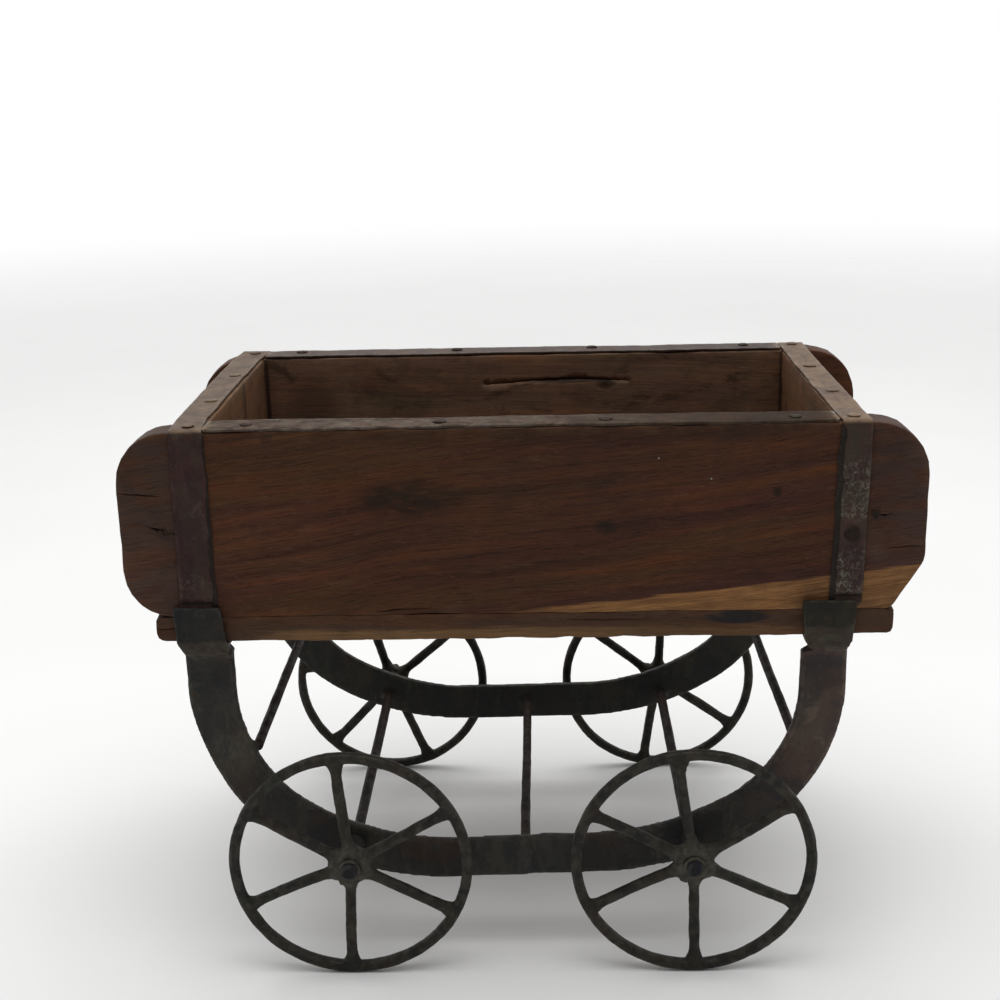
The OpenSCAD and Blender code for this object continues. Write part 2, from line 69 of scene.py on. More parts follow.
def make_camera():
    data = bpy.data.cameras.new("camera")
    data.sensor_width = CAMERA_SENSOR
    data.lens = CAMERA_LENS
    camera = linked("camera", data)
    turn = Matrix.Rotation(CAMERA_YAW, 4, "Z") @ Matrix.Rotation(math.pi / 2 - CAMERA_PITCH, 4, "X")
    roll = Matrix.Rotation(CAMERA_ROLL, 4, "Z")
    camera.matrix_world = Matrix.Translation(Vector(CAMERA_PLACE)) @ turn @ roll
    bpy.context.scene.camera = camera


make_camera()


# ---- Where things are, from the CAD model, in millimetres ----

def box(node):
    """The lowest and highest corners of a CAD node."""
    low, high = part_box(node)
    return np.array(low) / MM, np.array(high) / MM


def vectors(mesh, kind="co"):
    """The place, or the normal, of each vertex of a mesh."""
    values = np.empty(len(mesh.vertices) * 3)
    mesh.vertices.foreach_get(kind, values)
    return values.reshape(-1, 3)


def cad_mesh(node):
    """Vertices in mm and faces of a CAD node, with doubled vertices merged."""
    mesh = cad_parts[node].data
    points = vectors(mesh) / MM
    _, first, index = np.unique(np.round(points, 3), axis=0, return_index=True, return_inverse=True)
    index = index.reshape(-1)
    faces = [[int(index[v]) for v in p.vertices] for p in mesh.polygons]
    return points[first], [f for f in faces if len(set(f)) == len(f)]


def islands(node):
    """The lowest and highest corners of each solid of a CAD node, ordered by the
    solids' places, with the mean of its points."""
    points, faces = cad_mesh(node)
    parent = list(range(len(points)))

    def root(i):
        while parent[i] != i:
            parent[i] = parent[parent[i]]
            i = parent[i]
        return i

    for face in faces:
        for v in face[1:]:
            parent[root(v)] = root(face[0])
    groups = {}
    for i in range(len(points)):
        groups.setdefault(root(i), []).append(i)
    found = [(points[g].min(0), points[g].max(0), points[g].mean(0)) for g in groups.values()]
    return sorted(found, key=lambda solid: tuple(np.round(solid[2], 1)))


# ---- Noise, outlines and shells ----

# Large primes that scatter a cell's place, then (shift, factor) rounds that stir it
CELL_PRIMES = (73856093, 19349663, 83492791)
STIRS = ((15, 2246822519), (13, 3266489917))
BITS_32, BITS_16 = 0xFFFFFFFF, 0xFFFF


def lumps(points, size, seed):
    """Smooth noise from -1 to 1 at each point; size is the width of a lump in mm."""
    p = np.asarray(points, float) / size + seed * 17.317 + 100.0
    cell = np.floor(p).astype(np.int64)
    f = p - cell
    f = f * f * (3 - 2 * f)
    total = np.zeros(len(p))
    for corner in itertools.product((0, 1), repeat=3):
        h = np.bitwise_xor.reduce((cell + corner) * CELL_PRIMES, axis=1) & BITS_32
        for shift, factor in STIRS:
            h = ((h ^ (h >> shift)) * factor) & BITS_32
        value = 2 * ((h ^ (h >> 16)) & BITS_16) / BITS_16 - 1.0
        total += value * np.prod(np.where(corner, f, 1 - f), axis=1)
    return total


def unit(value):
    """The value, held between 0 and 1."""
    return np.clip(value, 0, 1)


def hollows(points, size, seed, lift=0.0):
    """The parts of the noise above 0, once it is lifted."""
    return unit(lumps(points, size, seed) + lift)


def ease(value, low, high):
    """A smooth step from 0 at low to 1 at high."""
    t = unit((value - low) / (high - low))
    return t * t * (3 - 2 * t)


def rounded(corners, steps=6):
    """A closed outline from (x, y, radius) corners, with arcs of those radii."""
    outline = []
    for i, (x, y, r) in enumerate(corners):
        p = Vector((x, y))
        before = (Vector(corners[i - 1][:2]) - p).normalized()
        after = (Vector(corners[(i + 1) % len(corners)][:2]) - p).normalized()
        half = before.angle(after) / 2
        centre = p + (before + after).normalized() * (r / math.sin(half))
        start = p + before * (r / math.tan(half)) - centre
        end = p + after * (r / math.tan(half)) - centre
        a0 = math.atan2(start.y, start.x)
        sweep = (math.atan2(end.y, end.x) - a0 + math.pi) % TURN - math.pi
        for k in range(steps + 1):
            a = a0 + sweep * k / steps
            outline.append((centre.x + r * math.cos(a), centre.y + r * math.sin(a)))
    return outline


def worn_rectangle(low, high, radius, steps=2):
    """A rectangle with rounded corners."""
    return rounded([(low[0], low[1], radius), (high[0], low[1], radius), (high[0], high[1], radius),
                    (low[0], high[1], radius)], steps)


def resample(outline, step):
    """The outline as a loop of points about a step apart."""
    loop = np.array(outline, float)
    closed = np.vstack([loop, loop[:1]])
    reach = np.concatenate([[0], np.cumsum(np.linalg.norm(np.diff(closed, axis=0), axis=1))])
    count = max(12, int(round(reach[-1] / step)))
    s = np.linspace(0, reach[-1], count, endpoint=False)
    return np.column_stack([np.interp(s, reach, closed[:, k]) for k in (0, 1)])


def distance_to_loop(points, loop):
    nearest = np.full(len(points), 1e9)
    for a, b in zip(loop, np.roll(loop, -1, 0)):
        along = b - a
        t = unit(((points - a) @ along) / max(along @ along, 1e-9))
        nearest = np.minimum(nearest, np.linalg.norm(points - a - t[:, None] * along, axis=1))
    return nearest


def inside_loop(points, loop):
    inside = np.zeros(len(points), bool)
    for a, b in zip(loop, np.roll(loop, -1, 0)):
        crosses = (a[1] > points[:, 1]) != (b[1] > points[:, 1])
        if a[1] != b[1]:
            at = a[0] + (points[:, 1] - a[1]) * (b[0] - a[0]) / (b[1] - a[1])
            inside ^= crosses & (points[:, 0] < at)
    return inside


def scattered(loop, cell, corners, rng):
    """Points spread over the inside of a loop, about a cell apart."""
    low, high = corners
    us = np.arange(low[0], high[0], cell)
    vs = np.arange(low[1], high[1], cell * 0.87)
    grid = np.array([(u + (cell / 2 if k % 2 else 0), v) for k, v in enumerate(vs) for u in us])
    grid += rng.uniform(-0.22, 0.22, grid.shape) * cell
    grid = grid[inside_loop(grid, loop)]
    return grid[distance_to_loop(grid, loop) > cell * 0.5]


def crack_lines(path, width, rng):
    """The middle of a crack, the way across it, and its taper towards its ends."""
    path = np.array(path, float)
    count = max(3, int(np.linalg.norm(np.diff(path, axis=0), axis=1).sum() / 1.6))
    along = np.linspace(0, len(path) - 1, count)
    mid = np.column_stack([np.interp(along, range(len(path)), path[:, k]) for k in (0, 1)])
    mid += rng.uniform(-0.14, 0.14, mid.shape)
    run = np.gradient(mid, axis=0)
    across = np.column_stack([-run[:, 1], run[:, 0]])
    across /= np.linalg.norm(across, axis=1)[:, None]
    taper = np.sin(np.linspace(0.25, math.pi - 0.25, count)) ** 0.6
    return mid, across * (width * taper)[:, None], taper


def cracked_face(loop, cell, corners, cracks, rng):
    """Triangles that fill a loop and follow its cracks. Returns their points, the
    triangles, which numbered points each point comes from (the loop's come first),
    and how deep each numbered point lies."""
    n = len(loop)
    grid = scattered(loop, cell, corners, rng)
    extra, sinks, links = [], [0.0] * n, []
    for path, width, deep in cracks:
        mid, across, taper = crack_lines(path, width, rng)
        gaps = np.linalg.norm(grid[:, None] - mid[None], axis=2)
        grid = grid[np.min(gaps, axis=1) > width + 0.5]
        for shift, sink in ((-0.5, 0.0), (0.0, deep), (0.5, 0.0)):
            start = n + len(extra)
            extra.extend(mid + across * shift)
            sinks.extend(sink * taper)
            links.extend((start + k, start + k + 1) for k in range(len(mid) - 1))
    sinks += [0.0] * len(grid)
    flat = [Vector(p) for part in (loop, extra, grid) for p in part]
    rim = [(i, (i + 1) % n) for i in range(n)]
    verts, _, tris, origin, _, _ = delaunay_2d_cdt(flat, rim + links, [], 1, 1e-6)
    return verts, tris, origin, sinks


def slab(outline, depth, place, arris, cell, step, cracks=((), ()), seed=0, ring_step=None):
    """A flat-faced solid with a worn, rounded arris all round. The outline is in
    (u, v) and w runs from the front face at 0 to the back face at depth; place
    turns u, v, w into x, y, z. A crack is (points in u and v, width, depth).
    Returns points, normals, faces, and how near each point is to an arris (0 to 1)
    and to the bottom of a crack."""
    rng = np.random.default_rng(seed)
    edge = resample(outline, step)
    n = len(edge)
    tangent = np.roll(edge, -1, 0) - np.roll(edge, 1, 0)
    out = np.column_stack([tangent[:, 1], -tangent[:, 0]])
    out /= np.linalg.norm(out, axis=1)[:, None]
    area = np.sum(edge[:, 0] * np.roll(edge[:, 1], -1) - np.roll(edge[:, 0], -1) * edge[:, 1])
    if area < 0:
        out = -out
    front = [(arris * (1 - math.sin(t)), arris * (1 - math.cos(t)), t) for t in np.radians([0, 30, 60, 90])]
    count = max(1, int(round((depth - 2 * arris) / (ring_step or step))))
    walls = [(0.0, arris + (depth - 2 * arris) * k / count, math.pi / 2) for k in range(1, count)]
    rings = front + walls + [(inset, depth - w, math.pi - t) for inset, w, t in reversed(front)]
    fade = 2.2    # mm over which the wear fades away from an arris
    points, normals, near, dark, faces = [], [], [], [], []
    for inset, w, turn in rings:
        points.append(np.column_stack([edge - out * inset, np.full(n, w)]))
        normals.append(np.column_stack([out * math.sin(turn), np.full(n, -math.cos(turn))]))
        gap = max(0.0, min(w, depth - w) - arris) if inset == 0 else 0.0
        near.append(np.full(n, math.exp(-gap / fade)))
        dark.append(np.zeros(n))
    for r in range(len(rings) - 1):
        for i in range(n):
            j = (i + 1) % n
            faces.append((r * n + i, (r + 1) * n + i, (r + 1) * n + j, r * n + j))
    total = n * len(rings)
    corners = edge.min(0), edge.max(0)
    for side, ring in ((0, 0), (1, len(rings) - 1)):
        verts, tris, origin, sinks = cracked_face(points[ring][:, :2], cell, corners, cracks[side], rng)
        index, fresh = {}, []
        for k, ids in enumerate(origin):
            on_rim = [i for i in ids if i < n]
            index[k] = ring * n + on_rim[0] if on_rim else total + len(fresh)
            if not on_rim:
                fresh.append(k)
        for tri in tris:
            face = [index[k] for k in tri]
            faces.append(tuple(face if side == 0 else reversed(face)))
        flat_points = np.array([tuple(verts[k]) for k in fresh])
        points.append(np.column_stack([flat_points, np.full(len(fresh), depth * side)]))
        normals.append(np.tile((0.0, 0.0, 1.0 if side else -1.0), (len(fresh), 1)))
        near.append(np.exp(-distance_to_loop(flat_points, edge) / fade))
        dark.append(np.array([max([sinks[i] for i in origin[k]] or [0.0]) for k in fresh]))
        total += len(fresh)
    points, normals = np.vstack(points), np.vstack(normals)
    xyz = np.column_stack(place(*points.T))
    zero = np.column_stack(place(*np.zeros((3, 1))))
    normals = np.column_stack(place(*normals.T)) - zero
    return xyz, normals, faces, np.concatenate(near), np.concatenate(dark)


def weather(points, normals, near, seed, wave=0.3, dent=0.35, chip=0.6, fine=0.08):
    """Sinks a surface by slow waves, dents, chipped arrises and fine roughness."""
    sink = wave * (0.5 + 0.5 * lumps(points, 60, seed))
    sink += dent * hollows(points, 13, seed + 1, -0.25)
    sink += chip * near * hollows(points, 8, seed + 2, 0.15)
    sink += 0.4 * chip * near * hollows(points, 3, seed + 4)
    sink += fine * (0.5 + 0.5 * lumps(points, 2.5, seed + 3))
    return points - normals * sink[:, None]


def ring_faces(rings, sides, closed=False):
    """The faces between rings of points; closed joins the last ring to the first."""
    faces = []
    for i in range(rings if closed else rings - 1):
        a, b = i * sides, (i + 1) % rings * sides
        faces += [(a + k, a + (k + 1) % sides, b + (k + 1) % sides, b + k) for k in range(sides)]
    return faces


def tube_faces(rings, sides):
    """The faces of rings of points that are closed at both ends."""
    last = (rings - 1) * sides
    return ring_faces(rings, sides) + [tuple(reversed(range(sides))), tuple(range(last, last + sides))]


def make_mesh(name, points, faces, **layers):
    """A mesh from points in mm, with a value for each point in each named layer."""
    mesh = bpy.data.meshes.new(name)
    mesh.from_pydata([tuple(p) for p in points * MM], [], faces)
    mesh.update()
    for layer, values in layers.items():
        store(mesh, layer, values)
    tool = bmesh.new()
    tool.from_mesh(mesh)
    bmesh.ops.recalc_face_normals(tool, faces=tool.faces)
    tool.to_mesh(mesh)
    tool.free()
    return mesh


class Shells:
    """Closed shells, in mm, that are fused into one skin."""

    def __init__(self):
        self.points, self.faces, self.count = [], [], 0

    def add(self, points, faces):
        self.faces.extend(tuple(v + self.count for v in f) for f in faces)
        self.points.append(np.asarray(points, float))
        self.count += len(points)

    def bar(self, path, radii, sides=18, seed=0, rough=0.0, squash=(1.0, 1.0)):
        """A round bar along a path, closed at both ends. squash is its size in the
        two directions across it, the first being the more level one."""
        path, radii = np.array(path, float), np.array(radii, float)
        run = np.gradient(path, axis=0)
        run /= np.linalg.norm(run, axis=1)[:, None]
        hint = np.array((0.0, 1.0, 0.0)) if abs(run[0][1]) < 0.9 else np.array((1.0, 0.0, 0.0))
        points = []
        for p, r, d in zip(path, radii, run):
            a = np.cross(d, hint)
            a /= np.linalg.norm(a)
            b = np.cross(d, a)
            for k in range(sides):
                t = TURN * k / sides
                points.append(p + r * (squash[0] * math.cos(t) * a + squash[1] * math.sin(t) * b))
        points = np.array(points)
        if rough:
            centre = np.repeat(path, sides, axis=0)
            points = centre + (points - centre) * (1 + rough * lumps(points, 5, seed))[:, None]
        self.add(points, tube_faces(len(path), sides))

    def ball(self, centre, radii, seed=0, rough=0.18, rings=9, sides=14):
        points = [(0.0, 0.0, 1.0)]
        for i in range(1, rings):
            a = math.pi * i / rings
            points += [(math.sin(a) * math.cos(TURN * k / sides), math.sin(a) * math.sin(TURN * k / sides),
                        math.cos(a)) for k in range(sides)]
        points.append((0.0, 0.0, -1.0))
        points = np.array(points)
        points *= (1 + rough * lumps(points * 10, 6, seed))[:, None]
        faces = [(0, 1 + k, 1 + (k + 1) % sides) for k in range(sides)]
        for i in range(rings - 2):
            a = 1 + i * sides
            faces += [(a + k, a + sides + k, a + sides + (k + 1) % sides, a + (k + 1) % sides)
                      for k in range(sides)]
        last, a = len(points) - 1, 1 + (rings - 2) * sides
        faces += [(last, a + (k + 1) % sides, a + k) for k in range(sides)]
        self.add(points * np.array(radii) + np.array(centre), faces)

    def lathe(self, centre, profile, sides=40, wobble=0.0, seed=0):
        """A ring about an axis along Y, from a closed profile of (radius, y)."""
        angles = [TURN * k / sides for k in range(sides)]
        points = np.array([(r * math.cos(t), y, r * math.sin(t)) for t in angles for r, y in profile])
        points[:, [0, 2]] *= (1 + wobble * lumps(points, 5, seed))[:, None]
        self.add(points + np.array(centre), ring_faces(sides, len(profile), closed=True))

    def turned(self, centre, profile, sides=22, wobble=0.0, seed=0):
        """A solid about an axis along Y, from its ends and rings (radius, y)."""
        angles = [TURN * k / sides for k in range(sides)]
        points = np.array([(r * math.cos(t), y, r * math.sin(t)) for r, y in profile for t in angles])
        points[:, [0, 2]] *= (1 + wobble * lumps(points, 5, seed))[:, None]
        self.add(points + np.array(centre), tube_faces(len(profile), sides))

    def prism(self, outline, place, depth):
        n = len(outline)
        u, v = np.array(outline * 2, float).T
        w = np.repeat((0.0, depth), n)
        faces = [(i, (i + 1) % n, n + (i + 1) % n, n + i) for i in range(n)]
        faces += [tuple(reversed(range(n))), tuple(range(n, 2 * n))]
        self.add(np.column_stack(place(u, v, w)), faces)

    def mesh(self, name):
        return make_mesh(name, np.vstack(self.points), self.faces)


# ---- Pieces ----

def piece(name, mesh, material, body, nodes):
    for polygon in mesh.polygons:
        polygon.use_smooth = True
    mesh.materials.append(material)
    obj = linked(name, mesh)
    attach(obj, body)
    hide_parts(*nodes)


def store(mesh, name, values):
    layer = mesh.attributes.new(name, "FLOAT", "POINT")
    layer.data.foreach_set("value", np.asarray(values, np.float32))


EDGE_GAIN, CRACK_GAIN = 22, 30    # per mm that a vertex stands out of its neighbours, or in


def relief(mesh):
    """Stores how much each vertex is an edge, and how much it is a crack, from 0 to 1."""
    count = len(mesh.vertices)
    points, normals = vectors(mesh), vectors(mesh, "normal")
    pairs = np.empty(len(mesh.edges) * 2, np.int64)
    mesh.edges.foreach_get("vertices", pairs)
    one, other = pairs.reshape(-1, 2).T
    degree = np.bincount(pairs, minlength=count).clip(1)

    def around(values):
        return (np.bincount(one, values[other], count) + np.bincount(other, values[one], count)) / degree

    middle = np.column_stack([around(points[:, k]) for k in range(3)])
    value = np.einsum("ij,ij->i", normals, points - middle) / MM
    for _ in range(3):
        value = 0.5 * value + 0.5 * around(value)
    store(mesh, "edge", unit(value * EDGE_GAIN))
    store(mesh, "crack", unit(-value * CRACK_GAIN))


def plain(node, shells, material):
    """Shells kept as they are, as one piece of the cart."""
    mesh = shells.mesh(node)
    relief(mesh)
    piece(node, mesh, MATERIALS[material], "cart", [node])


def forged(name, shells, voxel, soften, hammer, material, body, nodes, seed=0, grow=0.08, limit=None):
    """Fuses shells into one skin, softens it, and gives it hammer marks and scale."""
    base = linked(name + "_raw", shells.mesh(name + "_raw"))
    fuse = base.modifiers.new("fuse", "REMESH")
    fuse.mode = "VOXEL"
    fuse.voxel_size = voxel * MM
    smooth = base.modifiers.new("soften", "SMOOTH")
    smooth.factor = 0.5
    smooth.iterations = soften
    depsgraph = bpy.context.evaluated_depsgraph_get()
    mesh = bpy.data.meshes.new_from_object(base.evaluated_get(depsgraph))
    raw = base.data
    bpy.data.objects.remove(base)
    bpy.data.meshes.remove(raw)
    mesh.name = name
    points, normals = vectors(mesh) / MM, vectors(mesh, "normal")
    wide, deep = hammer
    shift = grow - deep * (0.5 + 0.5 * lumps(points, wide, seed))
    shift -= 0.6 * deep * hollows(points, wide * 0.45, seed + 1)
    shift -= 0.30 * deep * (0.5 + 0.5 * lumps(points, wide * 0.16, seed + 2))
    points = points + normals * shift[:, None]
    if limit:
        points = limit(points)
    mesh.vertices.foreach_set("co", (points * MM).ravel())
    mesh.update()
    relief(mesh)
    piece(name, mesh, MATERIALS[material], body, nodes)


# ---- Materials ----

class Shader:
    """A node material, in millimetres of the piece's own space. Its colour is laid
    on coat by coat; the methods that make a value return its output socket."""

    def __init__(self, name, specular):
        self.material = bpy.data.materials.new(name)
        self.material.use_nodes = True
        self.tree = self.material.node_tree
        self.bsdf = self.tree.nodes["Principled BSDF"]
        self.bsdf.inputs["Specular IOR Level"].default_value = specular
        coords = self.node("ShaderNodeTexCoord")
        self.mm = self.mapped(coords.outputs["Object"], (1000, 1000, 1000))
        self.x, self.y, self.z = self.node("ShaderNodeSeparateXYZ", (self.mm,)).outputs
        self.reach = self.math("ABSOLUTE", self.x)

    def put(self, socket, value):
        if isinstance(value, bpy.types.NodeSocket):
            self.tree.links.new(value, socket)
        elif value is not None:
            if socket.type == "RGBA" and len(value) == 3:
                value = (*value, 1.0)
            socket.default_value = value

    def node(self, kind, inputs=(), **settings):
        node = self.tree.nodes.new(kind)
        for key, value in settings.items():
            setattr(node, key, value)
        for socket, value in zip(node.inputs, inputs):
            self.put(socket, value)
        return node

    def mapped(self, vector, scale, shift=(0, 0, 0)):
        return self.node("ShaderNodeMapping", (vector, shift, (0, 0, 0), scale)).outputs[0]

    def math(self, operation, a, b=None, c=None, clamp=False):
        return self.node("ShaderNodeMath", (a, b, c), operation=operation, use_clamp=clamp).outputs[0]

    def minus(self, a, b):
        return self.math("SUBTRACT", a, b)

    def times(self, first=1.0, *others):
        for other in others:
            first = self.math("MULTIPLY", first, other)
        return first

    def scaled(self, a, b, c):
        """a times b, plus c."""
        return self.math("MULTIPLY_ADD", a, b, c)

    def length(self, a, b):
        return self.math("SQRT", self.math("ADD", self.times(a, a), self.times(b, b)))

    def vector(self, x, y, z):
        return self.node("ShaderNodeCombineXYZ", (x, y, z)).outputs[0]

    def noise(self, scale, detail=3.0, rough=0.5, distort=0.0, shift=0.0, space=None):
        """Noise of so many lumps per mm in each direction."""
        if not isinstance(scale, tuple):
            scale = (scale, scale, scale)
        node = self.node("ShaderNodeTexNoise")
        values = {"Vector": self.mapped(space or self.mm, scale, (shift, shift * 1.7, shift * 0.6)),
                  "Scale": 1.0, "Detail": detail, "Roughness": rough, "Distortion": distort}
        for name, value in values.items():
            self.put(node.inputs[name], value)
        return node.outputs[0]

    def step(self, value, low, high, to_low=0.0, to_high=1.0):
        """A soft step from to_low, where value is low, to to_high, where it is high."""
        return self.node("ShaderNodeMapRange", (value, low, high, to_low, to_high),
                         interpolation_type="SMOOTHSTEP").outputs[0]

    def patches(self, noise, *limits):
        """Soft-edged patches: a step through noise made with those settings."""
        return self.step(self.noise(*noise), *limits)

    def ramp(self, value, stops):
        node = self.node("ShaderNodeValToRGB", (value,))
        ramp = node.color_ramp
        while len(ramp.elements) < len(stops):
            ramp.elements.new(0.5)
        for element, (place, colour) in zip(ramp.elements, stops):
            element.position = place
            element.color = (*colour, 1.0)
        return node.outputs[0]

    def mix(self, factor, a, b, blend="MIX"):
        node = self.node("ShaderNodeMix", data_type="RGBA", blend_type=blend)
        for number, value in ((0, factor), (6, a), (7, b)):
            self.put(node.inputs[number], value)
        return node.outputs[2]

    def paint(self, colour, *masks):
        """Lays a colour over the colour so far, where the product of the masks is 1."""
        self.colour = self.mix(self.times(*masks), self.colour, colour)

    def tint(self, by, *masks):
        """Multiplies the colour so far, where the product of the masks is 1."""
        self.colour = self.mix(self.times(*masks), self.colour, by, "MULTIPLY")

    def attribute(self, name):
        return self.node("ShaderNodeAttribute", attribute_name=name).outputs["Fac"]

    def spot(self, centre, size, soft=1.0):
        """1 at a place in x and z, falling to 0 at an ellipse of that size."""
        squares = []
        for value, middle, width in zip((self.x, self.z), centre, size):
            away = self.math("DIVIDE", self.minus(value, middle), width)
            squares.append(self.times(away, away))
        return self.step(self.math("ADD", *squares), 1.0, 1.0 - soft)

    def finish(self, rough, height, distance, metallic=0.0):
        self.put(self.bsdf.inputs["Base Color"], self.colour)
        self.put(self.bsdf.inputs["Roughness"], rough)
        self.put(self.bsdf.inputs["Metallic"], metallic)
        bump = self.node("ShaderNodeBump")
        for name, value in (("Strength", 1.0), ("Distance", distance * MM), ("Height", height)):
            self.put(bump.inputs[name], value)
        self.put(self.bsdf.inputs["Normal"], bump.outputs[0])
        return self.material


def toned(colour, tone):
    return tuple(v * tone for v in colour)


def wood(name, marks, along="x", pith=(-20.0, 90.0), slope=0.08, tone=1.0, shift=0.0):
    """Old oiled hardwood, with marks of its own. The rings lie about a pith line
    along the grain, at that place in the two directions across it; slope is the
    grain's rise along it."""
    s = Shader(name, specular=0.08)
    run, a = (s.x, s.y) if along == "x" else (s.y, s.x)
    bend = s.noise(0.006, 2.0, 0.5, 0.0, shift + 3.1)
    bent = s.scaled(s.minus(bend, 0.5), 16.0, s.scaled(run, -slope, s.z))
    s.grain = s.vector(run, a, bent)
    broad = s.noise((0.0055, 0.02, 0.035), 2.0, 0.5, 0.3, shift + 1.3, s.grain)
    streak = s.noise((0.010, 0.11, 0.22), 5.0, 0.62, 0.5, shift + 7.7, s.grain)
    s.fibre = s.noise((0.035, 1.3, 1.9), 3.0, 0.6, 0.0, shift + 5.2, s.grain)
    pores = s.patches(((0.11, 2.6, 3.4), 2.0, 0.5, 0.0, shift + 9.4, s.grain), 0.385, 0.33)
    radius = s.length(s.minus(a, pith[0]), s.minus(bent, pith[1]))
    ring = s.step(s.math("SINE", s.scaled(streak, 9.0, s.times(radius, 1.05))), 0.55, 1.0)
    s.colour = s.ramp(broad, [(0.30, toned((0.052, 0.0205, 0.0140), tone)),
                              (0.50, toned((0.068, 0.0270, 0.0135), tone)),
                              (0.70, toned((0.084, 0.0330, 0.0140), tone))])
    hue = s.noise((0.008, 0.03, 0.085), 3.0, 0.55, 0.5, shift + 27.0, s.grain)
    s.paint(toned((0.058, 0.0330, 0.0150), tone), s.step(hue, 0.52, 0.64, 0.0, 0.45))
    s.paint(toned((0.056, 0.0225, 0.0185), tone), s.step(hue, 0.47, 0.36, 0.0, 0.45))
    s.tint(s.ramp(streak, [(0.30, (0.66, 0.66, 0.76)), (0.46, (0.92, 0.94, 1.0)), (0.56, (1.08, 1.02, 1.0)),
                           (0.72, (1.45, 1.22, 0.98))]))
    s.paint((0.030, 0.0135, 0.010), ring, 0.16)
    threads = [(0.28, (0.74, 0.72, 0.74)), (0.5, (1.0, 1.0, 1.0)), (0.75, (1.22, 1.18, 1.10))]
    s.tint(s.ramp(s.fibre, threads), 0.8)
    scratches = s.patches(((0.12, 0.9, 0.9), 3.0, 0.6, 1.5, shift + 15.0), 0.52, 0.70, 0.0, 0.30)
    s.paint((0.120, 0.062, 0.036), scratches)
    s.paint((0.020, 0.010, 0.008), pores, 0.35)
    marks(s)
    grime = s.patches((0.035, 4.0, 0.6, 0.4, shift + 12.0), 0.52, 0.72, 0.0, 0.42)
    s.paint((0.034, 0.019, 0.015), grime)
    worn = s.patches((0.09, 3.0, 0.6, 0.0, shift + 2.0), 0.42, 0.62)
    s.paint((0.130, 0.070, 0.038), s.attribute("edge"), worn, 0.25)
    # Painted shade: near black at the bottoms of the cracks
    s.paint((0.010, 0.006, 0.005), s.step(s.attribute("crack"), 0.1, 0.8, 0.0, 0.9))
    rough = s.scaled(s.noise(0.12, 3.0, 0.6, 0.0, shift + 4.0), 0.30, 0.42)
    height = s.scaled(s.fibre, 0.55, s.times(streak, 0.5))
    height = s.scaled(pores, -0.5, height)
    height = s.scaled(s.noise((0.02, 0.8, 0.8), 2.0, 0.5, 1.2, shift + 21.0), 0.15, height)
    return s.finish(rough, height, 0.22)


def iron(name, dark, brown, worn, rust, olive=(0.030, 0.029, 0.021), rust_amount=0.5, wear_amount=0.6,
         specular=0.15, metallic=0.25, rough=(0.45, 0.8), shift=0.0, marks=None):
    """Old black iron: scale in two tones, rust in the hollows, wear on the edges, and painted shadow where
    the crack layer passes 1.
    """
    s = Shader(name, specular)
    blotch = s.noise(0.16, 4.0, 0.62, 0.3, shift + 2.0)
    speck = s.noise(0.75, 3.0, 0.65, 0.0, shift + 3.0)
    grit = s.noise(2.2, 2.0, 0.6, 0.0, shift + 4.0)
    upright = s.noise((0.13, 0.13, 0.035), 3.0, 0.55, 0.6, shift + 6.0)
    s.colour = s.mix(s.patches((0.045, 4.0, 0.6, 0.6, shift + 1.0), 0.42, 0.60), dark, brown)
    s.paint(olive, s.step(upright, 0.50, 0.62, 0.0, 0.75))
    s.paint(worn, s.step(blotch, 0.54, 0.68), s.step(upright, 0.40, 0.60), 0.5)
    crevice_and_shade = s.attribute("crack")
    rusty = s.step(s.scaled(speck, 0.35, s.times(blotch, 0.65)), 0.45, 0.36)
    rusty = s.math("MULTIPLY_ADD", crevice_and_shade, 0.5, rusty, clamp=True)
    s.paint(rust, rusty, rust_amount)
    s.paint(toned(dark, 0.45), s.step(speck, 0.56, 0.72, 0.0, 0.55))
    rubbed = s.times(s.step(s.attribute("edge"), 0.15, 0.75),
                     s.patches((0.22, 3.0, 0.6, 0.0, shift + 8.0), 0.40, 0.60))
    s.paint(worn, rubbed, wear_amount)
    s.paint(worn, s.step(grit, 0.60, 0.75, 0.0, 0.35))
    s.rough = s.scaled(rubbed, -0.15, s.scaled(blotch, rough[1] - rough[0], rough[0]))
    if marks:
        marks(s)
    # Painted shadow: near black where the crack layer passes 1, which only the straps' sunken bands reach
    s.paint((0.0120, 0.0095, 0.0078), s.step(crevice_and_shade, 1.0, 1.5, 0.0, 0.85))
    height = s.scaled(speck, 0.55, s.times(blotch, 0.6))
    height = s.scaled(grit, 0.22, height)
    return s.finish(s.rough, height, 0.26, metallic)


# Dark places on the front board: (x, z), (size in x, size in z), darkness
FRONT_STAINS = (((34.5, 197.0), (6.8, 4.0), 0.9), ((35.0, 197.0), (4.6, 2.6), 0.9),
                ((103.0, 211.0), (2.2, 3.4), 0.9), ((-44.0, 210.0), (30.0, 11.0), 0.85),
                ((-56.0, 211.0), (9.0, 6.0), 0.7), ((-101.0, 236.0), (3.4, 2.4), 0.8),
                ((60.0, 226.0), (16.0, 6.0), 0.30), ((-20.0, 235.0), (60.0, 5.0), 0.45),
                ((95.0, 236.0), (50.0, 6.0), 0.5), ((-100.0, 168.0), (60.0, 8.0), 0.30))
PALE_SPECKS = ((55.5, 225.5), (76.5, 216.7))


